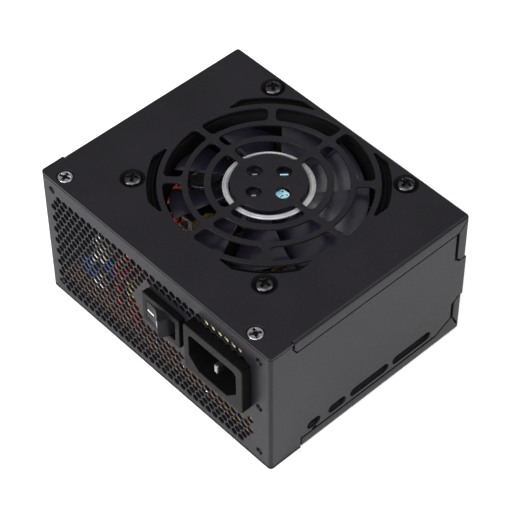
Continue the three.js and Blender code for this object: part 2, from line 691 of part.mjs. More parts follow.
function fanFrame() {
  const { size, depth, bore, top, screws } = FAN;
  const { flange, corner, post, hole, arm: armWidth, armThick } = FAN_FRAME;
  const half = size / 2;
  const bottom = top - depth;
  const square = rounded([-half, half], [-half, half], corner);
  const pieces = [
    slabZ(square, [top - flange, top]),
    slabZ(square, [bottom, bottom + flange]),
    ring(bore, half - 0.05, [bottom + 1, top - 1], 32),
  ];
  const cuts = [rod(bore, [bottom - 1, top + 1], 32)];
  for (const x of [-screws / 2, screws / 2]) {
    for (const y of [-screws / 2, screws / 2]) {
      pieces.push(rod(post, [bottom + 1, top - 1], 8, [x, y]));
      cuts.push(rod(hole, [bottom - 1, top + 1], 8, [x, y]));
    }
  }
  const shell = cut(join(...pieces), ...cuts);
  const arms = [];
  for (let i = 0; i < 4; i += 1) {
    const arm = block([11, bore + 0.6], [-armWidth / 2, armWidth / 2], [bottom, bottom + armThick]);
    arms.push(arm.rotateZ(radians(45 + 90 * i)));
  }
  const cupTop = bottom + FAN_CUP.thick;
  const cup = cut(rod(FAN_CUP.r, [bottom, cupTop], 24), rod(FAN_CUP.hole, [bottom - 1, cupTop + 1], 12));
  const { r, bore: sleeveBore, height } = FAN_SLEEVE;
  const sleeveTop = bottom + height;
  const sleeve = cut(rod(r, [bottom, sleeveTop], 14), rod(sleeveBore, [bottom - 1, sleeveTop + 1], 14));
  return join(shell, ...arms, cup, sleeve).translate(0, FAN.y, 0);
}

function fanStator() {
  const bottom = FAN.top - FAN.depth + 2.3;
  const core = ring(4.9, 8, [bottom, bottom + 6], 16);
  const poles = [];
  for (let i = 0; i < 4; i += 1) {
    poles.push(block([7, 12], [-3, 3], [bottom + 0.8, bottom + 5.2]).rotateZ(radians(90 * i)));
  }
  return join(core, ...poles).translate(0, FAN.y, 0);
}

// One blade: a thin twisted strip from the hub to the tip, higher on its leading side.
function fanBlade(start) {
  const { tip, sweep, chord, low, high, thick } = BLADES;
  const [across, along] = [4, 3];
  const root = HUB.radius - 0.6;
  const positions = [];
  for (const face of [0, 1]) {
    for (let j = 0; j <= along; j += 1) {
      const s = j / along;
      const r = root + (tip - root) * s;
      for (let i = 0; i <= across; i += 1) {
        const t = i / across;
        const angle = start + radians(sweep * Math.sqrt(s) + chord * t * (1 - 0.06 * s));
        const camber = 1.1 * Math.sin(Math.PI * t);
        const flat = 0.86 - 0.16 * s;
        const height = (high + low) / 2 + (t - 0.5) * (high - low) * flat + camber - 0.6;
        const edge = Math.sin(Math.PI * Math.min(Math.max(t, 0.12), 0.88));
        positions.push(...polar(r, angle), height + (face ? 0.5 : -0.5) * thick * (0.45 + 0.55 * edge));
      }
    }
  }
  const wide = across + 1;
  const layer = wide * (along + 1);
  const index = [];
  const quad = (a, b, c, d) => index.push(a, b, c, a, c, d);
  for (let j = 0; j < along; j += 1) {
    for (let i = 0; i < across; i += 1) {
      const a = j * wide + i;
      quad(a, a + 1, a + wide + 1, a + wide);
      quad(layer + a, layer + a + wide, layer + a + wide + 1, layer + a + 1);
    }
    quad(j * wide, (j + 1) * wide, layer + (j + 1) * wide, layer + j * wide);
    const last = j * wide + across;
    quad(last, layer + last, layer + last + wide, last + wide);
  }
  for (let i = 0; i < across; i += 1) {
    const end = along * wide + i;
    quad(i, layer + i, layer + i + 1, i + 1);
    quad(end, end + 1, layer + end + 1, layer + end);
  }
  const geometry = new THREE.BufferGeometry();
  geometry.setAttribute('position', new THREE.Float32BufferAttribute(positions, 3));
  geometry.setIndex(index);
  return geometry;
}

function fanRotor() {
  const { radius, top, bottom } = HUB;
  const hub = turned([
    [radius - 1.4, bottom], [radius, bottom], [radius, top - 1.2], [radius - 1, top - 0.4],
    [1.45, top - 0.4], [1.45, top - 5], [2.7, top - 5], [2.7, top - 1.8], [radius - 1.4, top - 1.8],
    [radius - 1.4, bottom],
  ], 20);
  const blades = [];
  for (let i = 0; i < BLADES.count; i += 1) {
    blades.push(fanBlade((2 * Math.PI * i) / BLADES.count));
  }
  return join(hub, ...blades).translate(0, FAN.y, 0);
}

// The bright trim ring that caps the edge of the hub.
function hubRing() {
  const { ring: outer, top } = HUB;
  const profile = [
    [outer - 1.9, top + 0.1], [outer - 0.2, top + 0.1], [outer, top + 0.3],
    [outer - 0.5, top + 0.75], [outer - 1.5, top + 0.75], [outer - 1.9, top + 0.4], [outer - 1.9, top + 0.1],
  ];
  return turned(profile, 28, [0, FAN.y]);
}

// ---------------------------------------------------------------- boards, sockets and wires

function addBoards() {
  const { bottom, top, rear, front, side } = BOARD;
  const holes = BOARD_SCREWS.map((at) => rod(1.7, [bottom - 1, top + 1], 8, at));
  add('main_board', cut(block([-side, side], [rear, front], [bottom, top]), ...holes), 'greenBoard');
  const sheet = block([-50, 50], [rear + 8.5, front], [SHEET + 1.6, SHEET + 1.9]);
  add('insulating_sheet', sheet, 'cream');
  add('socket_board', block([-side, side], [SOCKET_BOARD.rear, SOCKET_BOARD.front], [7, 44]), 'greenBoard');
}

function addSockets() {
  for (const { name, pins, x, z } of SOCKETS) {
    const width = socketWidth(pins);
    const face = FRONT + SOCKET.proud;
    const housing = block(...centredBlock(x, z, width, SOCKET.height, [SOCKET_BOARD.front + GAP, face]));
    const holes = [];
    for (let i = 0; i < pins; i += 1) {
      for (const row of [-0.5, 0.5]) {
        const u = x + (i - (pins - 1) / 2) * SOCKET.pitch;
        const v = z + row * SOCKET.pitch;
        holes.push(block(...centredBlock(u, v, SOCKET.hole, SOCKET.hole, [face - SOCKET.deep, face + 1])));
      }
    }
    add(name, cut(housing, several(holes)), 'blackPlastic');
  }
}

function addWires() {
  const [ix, iz] = [INLET_CAVITY.x, INLET_CAVITY.z];
  const tail = INLET.back + 6.4;
  const [sx, sy, sz] = [SWITCH.x, SWITCH.back + 7.4, SWITCH.z];
  const foot = DECK + 0.3;
  add('line_wire_inlet', wire(WIRE.mains, [
    [ix - 7, tail, iz + 2.25], [ix - 7, tail + 2.6, iz + 2.25], [26, -22.3, 41.4], [17, -22.6, 40.5],
    [sx + 5, sy + 4.5, sz], [sx + 5, sy, sz],
  ]), 'brown');
  add('line_wire_board', wire(WIRE.mains, [
    [sx - 5, sy, sz], [sx - 5, sy + 3, sz], [-2, -26.5, 35], [-8, -31, 26], [-10, -33.5, 17],
    [-10, -33.5, foot],
  ]), 'brown');
  add('neutral_wire', wire(WIRE.mains, [
    [ix + 7, tail, iz + 2.25], [ix + 7, tail + 2.6, iz + 2], [44.5, -22, 34], [44, -22, 24], [42, -25, 15],
    [42, -25, foot],
  ]), 'blue');
  add('earth_wire', wire(WIRE.mains, [
    [ix, tail, iz - 1.75], [ix, tail + 2.6, iz - 2], [36.5, -22.5, 31], [36, -23, 22], [35, -26, 14.5],
    [35, -26, foot],
  ]), 'yellow');
}

// ---------------------------------------------------------------- parts on the main board

// A standing disc with two legs, its face along Y.
function discPart(r, thick, [x, y], lift) {
  const z = DECK + lift + r;
  const disc = rodY(r, [y - thick / 2, y + thick / 2], 16, [x, z]);
  const half = 0.3;
  const legs = [x - 0.5 * r, x + 0.5 * r].map((u) => (
    block([u - half, u + half], [y - half, y + half], [DECK, z])
  ));
  return join(disc, ...legs);
}

// A can capacitor with a rounded shoulder at its top edge.
function canPart(r, height, at) {
  const top = DECK + height;
  return turned([[0, DECK], [r, DECK], [r, top - 0.8], [r - 0.8, top], [0, top]], 20, at);
}

// A lying ring core wound with wire, whose turns show as ribs round its rim.
function woundRing(inner, outer, height, ribs, [x, y]) {
  const rim = [];
  for (let i = 0; i < 2 * ribs; i += 1) {
    const r = i % 2 === 0 ? outer : outer + 0.9;
    rim.push(polar(r, (Math.PI * i) / ribs));
  }
  const shape = outline(rim);
  const bore = new THREE.Path();
  bore.absarc(0, 0, inner, 0, 2 * Math.PI);
  shape.holes.push(bore);
  return slabZ(shape, [DECK, DECK + height], 12).translate(x, y, 0);
}

// A transformer: a wound bobbin between the two halves of its ferrite core.
function transformer([x, y], [w, d, h]) {
  const bobbin = block([x - w / 2 + 2, x + w / 2 - 2], [y - d / 2, y + d / 2], [DECK, DECK + h]);
  const core = block([x - w / 2, x + w / 2], [y - d / 4, y + d / 4], [DECK + 2.5, DECK + h + 1.5]);
  return join(bobbin, core);
}

// A folded heatsink: an upright plate with short fins at its top, running along Y.
function heatsink(x, [y0, y1], side) {
  const pieces = [block([x - 1.2, x + 1.2], [y0, y1], [DECK, 44])];
  for (let z = 24; z < 44; z += 6.2) {
    const spanX = side > 0 ? [x, x + 7] : [x - 7, x];
    pieces.push(block(spanX, [y0, y1], [z, z + 1.2]));
  }
  return join(...pieces);
}

function addBoardParts() {
  add('line_capacitor', block([26, 45.5], [-46.5, -37], [50.2, 56.5]), 'yellow');
  add('filter_capacitor', block([-13, 6], [-27, -18], [DECK, DECK + 16]), 'yellow');
  add('suppressor_disc_1', discPart(4.6, 3.2, [-46.4, -42.5], 2.5), 'blue');
  add('suppressor_disc_2', discPart(4.6, 3.2, [-38.6, -38.6], 4), 'blue');
  add('varistor', rodX(6.5, [-31.6, -27.8], 18, [-37, DECK + 8.5]), 'red');
  add('thermistor', discPart(5, 4, [-22, -30], 2), 'grey');
  add('fuse', rodX(2.6, [-56, -36], 12, [-31, DECK + 3.2]), 'cream');
  add('line_choke', woundRing(4, 9.5, 15, 12, [-46, -16]), 'copper');
  add('boost_choke', woundRing(3.5, 8.5, 14, 12, [-41.5, 28]), 'copper');
  add('bulk_capacitor', canPart(10, 31, [-38, 8]), 'blackPlastic');
  add('bridge_rectifier', block([-16.8, -12.8], [-13, 7], [18, 34]), 'blackPlastic');
  add('primary_heatsink', heatsink(-19, [-15, 34], -1), 'aluminium');
  add('power_transistor', block([-17.4, -13], [12, 27], [17, 37]), 'blackPlastic');
  add('main_transformer', transformer([2, 12], [26, 28, 25]), 'yellow');
  add('standby_transformer', transformer([14, -18], [14, 16, 14]), 'yellow');
  add('secondary_heatsink', heatsink(24, [-14, 34], 1), 'aluminium');
  add('output_choke', woundRing(4, 9.5, 13, 12, [46, -8]), 'copper');
  add('output_capacitor', canPart(5, 20, [42, 20]), 'blackPlastic');
}

// ---------------------------------------------------------------- assembly

add('rear_shell', rearShell(), 'blackSteel');
add('wrap_shell', wrapShell(), 'blackSteel');
addScrews();
addInlet();
addSwitch();
addFan();
addBoards();
addSockets();
addWires();
addBoardParts();

export default unit;
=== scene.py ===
"""The looks of a compact computer power supply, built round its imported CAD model."""

import math

import bpy
import numpy as np
from mathutils import Matrix, Vector
from mathutils.geometry import delaunay_2d_cdt


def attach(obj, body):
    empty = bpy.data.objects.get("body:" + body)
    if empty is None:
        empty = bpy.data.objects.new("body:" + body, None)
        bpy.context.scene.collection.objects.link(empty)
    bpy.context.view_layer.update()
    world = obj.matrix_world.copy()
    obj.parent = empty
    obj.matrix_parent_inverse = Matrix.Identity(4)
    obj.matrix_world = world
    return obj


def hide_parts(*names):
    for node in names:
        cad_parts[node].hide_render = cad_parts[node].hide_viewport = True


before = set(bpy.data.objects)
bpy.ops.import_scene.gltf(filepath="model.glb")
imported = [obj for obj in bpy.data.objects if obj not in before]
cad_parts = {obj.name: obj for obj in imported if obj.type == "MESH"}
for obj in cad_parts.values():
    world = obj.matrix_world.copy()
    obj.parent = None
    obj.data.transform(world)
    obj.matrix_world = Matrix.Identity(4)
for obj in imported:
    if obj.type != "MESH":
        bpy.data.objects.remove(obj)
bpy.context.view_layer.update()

MM = 0.001
TAU = 2 * math.pi

# ------------------------------------------------------------------ sizes, in millimetres

WIDTH, DEPTH, HEIGHT = 125.0, 100.0, 63.5
RIGHT, REAR, FRONT = WIDTH / 2, -DEPTH / 2, DEPTH / 2
SHEET = 1.0
BEND = 1.5
ARC = math.pi / 2 * (BEND - SHEET / 2)      # length of a bend along the middle of the sheet
EDGE = 0.14                                 # rounding of a sheared edge
FOLD_AT = RIGHT - BEND                      # where the flat of a face ends and its bend begins
GAP = 0.3
INNER_LOW, INNER_HIGH, INNER_FRONT = SHEET + GAP, HEIGHT - SHEET - GAP, FRONT - SHEET - GAP
BASE_SEAM = 0.95
SEAM = 0.55                                 # width of the dark lines round the flanges and tabs

FAN_Y = 8.0
FAN_TOP = 62.2
HUB_TOP = 60.9
SCREW_PITCH = 71.5
COVER_SCREWS = [(-53.7, -45.3), (49.9, -45.3)]
FAN_SCREWS = [(sx * SCREW_PITCH / 2, FAN_Y + sy * SCREW_PITCH / 2)
              for sx in (-1, 1) for sy in (-1, 1)]
MOUNT_HOLES = [(-56.5, 6.0), (-56.5, 57.5), (56.5, 6.0), (56.5, 31.75), (56.5, 57.5)]
INLET = (37.0, 39.7)
CAVITY = (36.8, 39.5)
SWITCH = (7.45, 39.9)

# ------------------------------------------------------------------ materials


def node_material(name):
    """A fresh node material with its Principled shader."""
    material = bpy.data.materials.new(name)
    material.use_nodes = True
    shader = material.node_tree.nodes["Principled BSDF"]
    return material, material.node_tree, shader


def put(node, values):
    """Sets a node's inputs by name."""
    for name, value in values.items():
        node.inputs[name].default_value = value


def object_place(tree):
    """Where a point lies on the object's own axes, in metres."""
    return tree.nodes.new("ShaderNodeTexCoord").outputs["Object"]


def noise_texture(tree, scale, detail=2.0, roughness=0.5, place=None):
    """Noise over the object's own place, unless another is given: scale is in features per metre."""
    noise = tree.nodes.new("ShaderNodeTexNoise")
    put(noise, {"Scale": scale, "Detail": detail, "Roughness": roughness})
    tree.links.new(object_place(tree) if place is None else place, noise.inputs["Vector"])
    return noise.outputs["Fac"]


def ramp(tree, source, stops):
    """Maps a value to colours or greys: stops is a list of (position, value or colour)."""
    node = tree.nodes.new("ShaderNodeValToRGB")
    elements = node.color_ramp.elements
    while len(elements) < len(stops):
        elements.new(0.5)
    for element, (place, value) in zip(elements, stops):
        element.position = place
        colour = value if isinstance(value, tuple) else (value, value, value)
        element.color = (*colour, 1.0)
    tree.links.new(source, node.inputs["Fac"])
    return node.outputs["Color"]


def across_noise(low, high):
    """Stops for a ramp over noise, which mostly lies between 0.3 and 0.7."""
    return [(0.3, low), (0.7, high)]


def drive(tree, shader, socket, source, stops):
    """Sets one of the shader's inputs from a value, through a ramp."""
    tree.links.new(ramp(tree, source, stops), shader.inputs[socket])


def blended(tree, kind, a, b):
    """Two colours brought together at full strength, by a blend such as ADD."""
    mix = tree.nodes.new("ShaderNodeMix")
    mix.data_type, mix.blend_type = "RGBA", kind
    mix.inputs["Factor"].default_value = 1.0
    tree.links.new(a, mix.inputs["A"])
    tree.links.new(b, mix.inputs["B"])
    return mix.outputs["Result"]


def add_bump(tree, shader, height, strength, distance):
    """Relief that follows a height: distance is its depth in metres."""
    bump = tree.nodes.new("ShaderNodeBump")
    put(bump, {"Strength": strength, "Distance": distance})
    tree.links.new(height, bump.inputs["Height"])
    tree.links.new(bump.outputs["Normal"], shader.inputs["Normal"])


def surface(name, dark, light, rough, grain, specular=0.5):
    """A finish whose colour drifts from dark to light and whose roughness and relief follow a grain.

    rough is (lowest, highest) roughness. grain is described above FINISHES."""
    metal, fine_scale, drift_scale, strength, depth = grain
    material, tree, shader = node_material(name)
    drift = noise_texture(tree, drift_scale, 4.0)
    fine = noise_texture(tree, fine_scale, 3.0, 0.6)
    drive(tree, shader, "Base Color", drift, across_noise(dark, light))
    drive(tree, shader, "Roughness", fine, across_noise(*rough))
    put(shader, {"Metallic": metal, "Specular IOR Level": specular})
    add_bump(tree, shader, fine, strength, depth)
    return material


def powder_coat():
    """Satin black powder coat: orange peel and a fine sparkle of grains, over a faint dusty drift."""
    material, tree, shader = node_material("powder_coat")
    drift = noise_texture(tree, 45, 5.0)
    peel = noise_texture(tree, 1250, 2.0, 0.6)
    grain = noise_texture(tree, 2600, 2.0, 0.65)
    dusty = ramp(tree, drift, [(0.25, (0.0058, 0.0053, 0.0066)), (0.75, (0.0082, 0.0075, 0.0092))])
    flecks = ramp(tree, grain, [(0.56, 0.0), (0.74, (0.012, 0.0110, 0.0132))])
    tree.links.new(blended(tree, "ADD", dusty, flecks), shader.inputs["Base Color"])
    drive(tree, shader, "Roughness", peel, across_noise(0.28, 0.40))
    put(shader, {"Specular IOR Level": 0.11, "Specular Tint": (0.985, 0.955, 1.0, 1.0)})
    relief = tree.nodes.new("ShaderNodeMath")
    relief.operation = "MULTIPLY_ADD"
    relief.inputs[1].default_value = 0.6
    tree.links.new(grain, relief.inputs[0])
    tree.links.new(peel, relief.inputs[2])
    add_bump(tree, shader, relief.outputs["Value"], 0.42, 4.5e-5)
    return material


def brushed(name, colour, along, rough=(0.22, 0.4)):
    """Bare metal with fine scratches; along stretches the noise in that object axis (0, 1 or 2)."""
    material, tree, shader = node_material(name)
    stretch = tree.nodes.new("ShaderNodeMapping")
    scale = [1.0, 1.0, 1.0]
    scale[along] = 0.06
    put(stretch, {"Scale": scale})
    tree.links.new(object_place(tree), stretch.inputs["Vector"])
    scratches = noise_texture(tree, 3500, 3.0, place=stretch.outputs["Vector"])
    low = tuple(0.8 * c for c in colour)
    drive(tree, shader, "Base Color", scratches, across_noise(low, colour))
    drive(tree, shader, "Roughness", scratches, across_noise(*rough))
    put(shader, {"Metallic": 1.0})
    add_bump(tree, shader, scratches, 0.15, 1e-5)
    return material


def wound_wire(name, dark, light, turns_per_metre):
    """Enamelled wire: bright and dark bands as of turns lying side by side."""
    material, tree, shader = node_material(name)
    wave = tree.nodes.new("ShaderNodeTexWave")
    put(wave, {"Scale": turns_per_metre, "Distortion": 1.5})
    tree.links.new(object_place(tree), wave.inputs["Vector"])
    drive(tree, shader, "Base Color", wave.outputs["Fac"], [(0.2, dark), (0.8, light)])
    put(shader, {"Roughness": 0.32, "Metallic": 0.6})
    add_bump(tree, shader, wave.outputs["Fac"], 0.6, 2e-4)
    return material


def hub_label_material():
    """A dark foil label with a faint cell pattern and no lettering."""
    material, tree, shader = node_material("hub_label")
    cells = tree.nodes.new("ShaderNodeTexVoronoi")
    put(cells, {"Scale": 420})
    tree.links.new(object_place(tree), cells.inputs["Vector"])
    shades = [(0.1, (0.030, 0.032, 0.040)), (0.6, (0.010, 0.010, 0.014))]
    drive(tree, shader, "Base Color", cells.outputs["Distance"], shades)
    put(shader, {"Roughness": 0.22, "Metallic": 0.4})
    add_bump(tree, shader, cells.outputs["Distance"], 0.25, 6e-5)
    return material


# Where the main board's painted shade begins, at its rear edge, and where it is full, deeper inside the case.
PAINTED_SHADE_FROM_Y, PAINTED_SHADE_FULL_Y = -47.0 * MM, -12.0 * MM


def board_material():
    """Tan paper laminate with faint fibre, with painted shade that darkens it away from the rear edge, deeper
    into the case.
    """
    material, tree, shader = node_material("laminate_board")
    drift = noise_texture(tree, 300, 4.0)
    fibre = noise_texture(tree, 2600, 3.0, 0.6)
    tan = ramp(tree, drift, [(0.35, (0.27, 0.135, 0.060)), (0.65, (0.56, 0.33, 0.17))])
    axes = tree.nodes.new("ShaderNodeSeparateXYZ")
    tree.links.new(object_place(tree), axes.inputs["Vector"])
    deep = tree.nodes.new("ShaderNodeMapRange")
    put(deep, {"From Min": PAINTED_SHADE_FROM_Y, "From Max": PAINTED_SHADE_FULL_Y})
    tree.links.new(axes.outputs["Y"], deep.inputs["Value"])
    # Painted shade: full colour at the rear edge, darkened to about a sixth deeper inside.
    painted_shade = ramp(tree, deep.outputs["Result"], [(0.0, 1.0), (1.0, (0.16, 0.15, 0.14))])
    tree.links.new(blended(tree, "MULTIPLY", tan, painted_shade), shader.inputs["Base Color"])
    drive(tree, shader, "Roughness", fibre, across_noise(0.35, 0.6))
    add_bump(tree, shader, fibre, 0.3, 3e-5)
    return material


# How a surface's grain lies: how metallic it is, the grain's and the drift's features per metre, and the
# strength and the depth in metres of the relief.
MOULDED = (0, 1700, 90, 0.25, 2e-5)
PLASTIC = (0, 1500, 120, 0.15, 2e-5)
CERAMIC = (0, 900, 150, 0.25, 4e-5)
SHEATH = (0, 900, 120, 0.1, 1e-5)
STEEL = (1, 2600, 300, 0.15, 1e-5)
GRITTY = (0, 2600, 300, 0.2, 1e-5)
GLOSSY = (0, 900, 90, 0.1, 1e-5)
SOFT = (0, 700, 60, 0.15, 2e-5)
WIRE_SHEEN = (0.3, 0.42)

# The dark and light colours, the least and most rough, the grain and, where it isn't 0.5, the specular level.
FINISHES = {
    "black_plastic": ((0.0028, 0.0028, 0.0031), (0.0055, 0.0055, 0.006), (0.36, 0.5), MOULDED, 0.055),
    # Black plastic darkened beyond its own colour: painted shade for dimples, screw recesses, wells, the
    # walls of the inlet and switch, and the fan's mouth.
    "painted_shade_plastic": ((0.0010, 0.0010, 0.0012), (0.0022, 0.0022, 0.0025), (0.6, 0.75), MOULDED, 0.05),
    "trim_satin": ((0.20, 0.20, 0.21), (0.31, 0.31, 0.32), (0.28, 0.42), (0.35, 2200, 160, 0.12, 1e-5)),
    # The socket board's laminate, darkened as painted shade for the shade it stands in under the fan.
    "painted_shade_laminate": ((0.008, 0.016, 0.010), (0.016, 0.030, 0.018), (0.4, 0.6), (0, 2600, 120, 0.3, 3e-5)),
    "recess_shadow": ((0.004, 0.004, 0.005), (0.012, 0.012, 0.013), (0.5, 0.7), GRITTY, 0.2),
    # A painted reflection: the pale blue glint on the hub's foil label.
    "painted_glint_blue": ((0.16, 0.42, 0.55), (0.50, 0.74, 0.82), (0.25, 0.4), (0, 1500, 620, 0.1, 1e-5)),
    "rocker_plastic": ((0.006, 0.006, 0.007), (0.010, 0.010, 0.011), (0.3, 0.4), GLOSSY, 0.06),
    "fan_plastic": ((0.004, 0.004, 0.008), (0.008, 0.007, 0.014), (0.26, 0.38), SOFT, 0.34),
    "socket_plastic": ((0.010, 0.010, 0.011), (0.017, 0.017, 0.018), (0.35, 0.5), (0, 1500, 90, 0.2, 2e-5)),
    "mark_white": ((0.62, 0.62, 0.60), (0.75, 0.75, 0.73), (0.4, 0.55), (0, 1500, 200, 0.1, 1e-5)),
    "dark_screw": ((0.030, 0.030, 0.033), (0.062, 0.062, 0.066), (0.2, 0.32), STEEL),
    # Steel darkened as painted shade inside the mounting holes.
    "thread": ((0.020, 0.020, 0.021), (0.05, 0.05, 0.052), (0.4, 0.55), STEEL),
    "brass": ((0.62, 0.44, 0.18), (0.80, 0.60, 0.28), (0.25, 0.4), (1, 2200, 200, 0.15, 1e-5)),
    "cream_plastic": ((0.52, 0.47, 0.33), (0.66, 0.60, 0.45), (0.4, 0.6), PLASTIC),
    "pale_film": ((0.82, 0.76, 0.38), (0.96, 0.92, 0.58), (0.3, 0.5), PLASTIC),
    "yellow_tape": ((0.26, 0.17, 0.035), (0.38, 0.26, 0.06), (0.25, 0.4), PLASTIC),
    "glue": ((0.76, 0.76, 0.74), (0.92, 0.92, 0.90), (0.3, 0.5), (0, 700, 120, 0.3, 5e-5)),
    "blue_ceramic": ((0.016, 0.075, 0.32), (0.036, 0.14, 0.50), (0.22, 0.38), CERAMIC),
    "red_ceramic": ((0.38, 0.040, 0.026), (0.58, 0.095, 0.060), (0.25, 0.42), CERAMIC),
    "dark_ceramic": ((0.02, 0.035, 0.02), (0.045, 0.065, 0.04), (0.35, 0.5), CERAMIC),
    "red_wire": ((0.22, 0.014, 0.010), (0.34, 0.03, 0.016), WIRE_SHEEN, SHEATH),
    "orange_wire": ((0.44, 0.065, 0.035), (0.62, 0.13, 0.07), WIRE_SHEEN, SHEATH),
    "brown_wire": ((0.14, 0.045, 0.02), (0.22, 0.08, 0.035), WIRE_SHEEN, SHEATH),
    "black_wire": ((0.010, 0.010, 0.011), (0.016, 0.016, 0.017), WIRE_SHEEN, SHEATH),
    "blue_wire": ((0.015, 0.06, 0.26), (0.03, 0.10, 0.36), WIRE_SHEEN, SHEATH),
    "green_wire": ((0.10, 0.22, 0.03), (0.45, 0.42, 0.05), WIRE_SHEEN, (0, 900, 700, 0.1, 1e-5)),
    "olive_film": ((0.30, 0.26, 0.06), (0.46, 0.40, 0.11), (0.3, 0.45), SHEATH),
    "sleeve": ((0.010, 0.011, 0.016), (0.018, 0.019, 0.026), (0.2, 0.32), (0, 900, 80, 0.1, 1e-5)),
    "ferrite": ((0.028, 0.028, 0.030), (0.045, 0.045, 0.047), (0.5, 0.7), (0, 2600, 150, 0.3, 3e-5)),
    "epoxy": ((0.016, 0.016, 0.017), (0.026, 0.026, 0.027), (0.45, 0.6), (0, 2600, 150, 0.25, 2e-5)),
}


def build_materials():
    """Every finish by name."""
    made = {name: surface(name, *values) for name, values in FINISHES.items()}
    made["powder_coat"] = powder_coat()
    made["bright_steel"] = brushed("bright_steel", (0.34, 0.34, 0.35), 0)
    made["aluminium"] = brushed("aluminium", (0.60, 0.61, 0.62), 1, (0.25, 0.42))
    made["copper"] = wound_wire("copper", (0.28, 0.09, 0.03), (0.60, 0.24, 0.09), 260)
    made["hub_label"] = hub_label_material()
    made["board"] = board_material()
    return made


FINISH = build_materials()

# ------------------------------------------------------------------ mesh helpers


def paint(piece, finish):
    """Gives a piece one finish all over."""
    piece.data.materials.clear()
    piece.data.materials.append(FINISH[finish])


def make(name, part, finish, nodes=(), smooth=38.0, weighted=False, body="case"):
    """A mesh piece from a part in millimetres, riding on a body and standing for CAD nodes.

    smooth is the angle in degrees above which an edge is sharp."""
    vertices, faces = part
    mesh = bpy.data.meshes.new(name)
    mesh.from_pydata([tuple(c * MM for c in v) for v in vertices], [], faces)
    mesh.validate()
    mesh.polygons.foreach_set("use_smooth", [True] * len(mesh.polygons))
    mesh.set_sharp_from_angle(angle=math.radians(smooth))
    piece = bpy.data.objects.new(name, mesh)
    bpy.context.scene.collection.objects.link(piece)
    paint(piece, finish)
    if weighted:
        normals = piece.modifiers.new("normals", "WEIGHTED_NORMAL")
        normals.keep_sharp = True
    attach(piece, body)
    if nodes:
        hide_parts(*nodes)
    return piece


def combine(*parts):
    """Several (vertices, faces) as one."""
    vertices, faces = [], []
    for part_vertices, part_faces in parts:
        start = len(vertices)
        vertices.extend(part_vertices)
        faces.extend([tuple(start + i for i in face) for face in part_faces])
    return vertices, faces


def moved(part, matrix):
    """The part with every point moved by a matrix."""
    vertices, faces = part
    return [tuple(matrix @ Vector(v)) for v in vertices], faces


def shifted(part, x=0.0, y=0.0, z=0.0):
    return moved(part, Matrix.Translation((x, y, z)))


def turned_z(part, angle):
    return moved(part, Matrix.Rotation(angle, 4, "Z"))


def upside_down(part):
    return moved(part, Matrix.Rotation(math.pi, 4, "X"))


def laid_back(part):
    """The part turned a quarter about X, so that what went up now looks along -Y."""
    return moved(part, Matrix.Rotation(math.pi / 2, 4, "X"))


def turned_over(part):
    """The part with its faces wound the other way."""
    return part[0], [face[::-1] for face in part[1]]


def polar(r, angle):
    return (r * math.cos(angle), r * math.sin(angle))


def lathe(profile, segments, closed=False):
    """A profile of (radius, height), going up on its outer side, turned about Z.

    Points at radius 0 are poles. A closed profile is joined from its last point to its first."""
    vertices, faces, rows = [], [], []
    for r, z in profile:
        if r < 1e-6:
            rows.append([len(vertices)])
            vertices.append((0.0, 0.0, z))
        else:
            rows.append(list(range(len(vertices), len(vertices) + segments)))
            vertices.extend([(*polar(r, TAU * i / segments), z) for i in range(segments)])
    pairs = list(zip(rows, rows[1:]))
    if closed:
        pairs.append((rows[-1], rows[0]))
    for low, high in pairs:
        for i in range(segments):
            j = (i + 1) % segments
            a, b = low[i % len(low)], low[j % len(low)]
            c, d = high[j % len(high)], high[i % len(high)]
            face = list(dict.fromkeys((a, b, c, d)))
            if len(face) > 2:
                faces.append(tuple(face))
    return vertices, faces


def arc(centre, r, start, stop, steps):
    """Points on an arc; the angles are in radians."""
    return [(centre[0] + r * math.cos(start + (stop - start) * i / steps),
             centre[1] + r * math.sin(start + (stop - start) * i / steps)) for i in range(steps + 1)]


def circle(centre, r, segments):
    return arc(centre, r, 0, TAU, segments)[:-1]


def rounded_rectangle(centre, width, height, r, steps=5):
    (cx, cy), w, h = centre, width / 2 - r, height / 2 - r
    quarter = math.pi / 2
    corners = [(cx + w, cy + h, 0), (cx - w, cy + h, 1), (cx - w, cy - h, 2), (cx + w, cy - h, 3)]
    return [p for x, y, k in corners for p in arc((x, y), r, k * quarter, (k + 1) * quarter, steps)]


def signed_area(loop):
    a = np.asarray(loop)
    b = np.roll(a, -1, axis=0)
    return 0.5 * float(np.sum(a[:, 0] * b[:, 1] - b[:, 0] * a[:, 1]))


def inset(loop, amount):
    """The loop with every edge moved to its left by amount; sharp corners are kept from running far."""
    p = np.asarray(loop, float)
    before, after = p - np.roll(p, 1, axis=0), np.roll(p, -1, axis=0) - p
    before /= np.linalg.norm(before, axis=1)[:, None]
    after /= np.linalg.norm(after, axis=1)[:, None]
    n1 = np.stack([-before[:, 1], before[:, 0]], 1)
    n2 = np.stack([-after[:, 1], after[:, 0]], 1)
    scale = np.maximum(1 + np.sum(n1 * n2, axis=1), 0.35)
    return p + amount * (n1 + n2) / scale[:, None]


def split_at(loop, creases):
    """The loop with a point added wherever an edge crosses a crease: creases is [(axis, value), ...]."""
    for axis, value in creases:
        out = []
        for a, b in zip(loop, loop[1:] + loop[:1]):
            out.append(a)
            low, high = sorted((a[axis], b[axis]))
            if low + 1e-6 < value < high - 1e-6:
                t = (value - a[axis]) / (b[axis] - a[axis])
                out.append((a[0] + t * (b[0] - a[0]), a[1] + t * (b[1] - a[1])))
        loop = out
    return loop


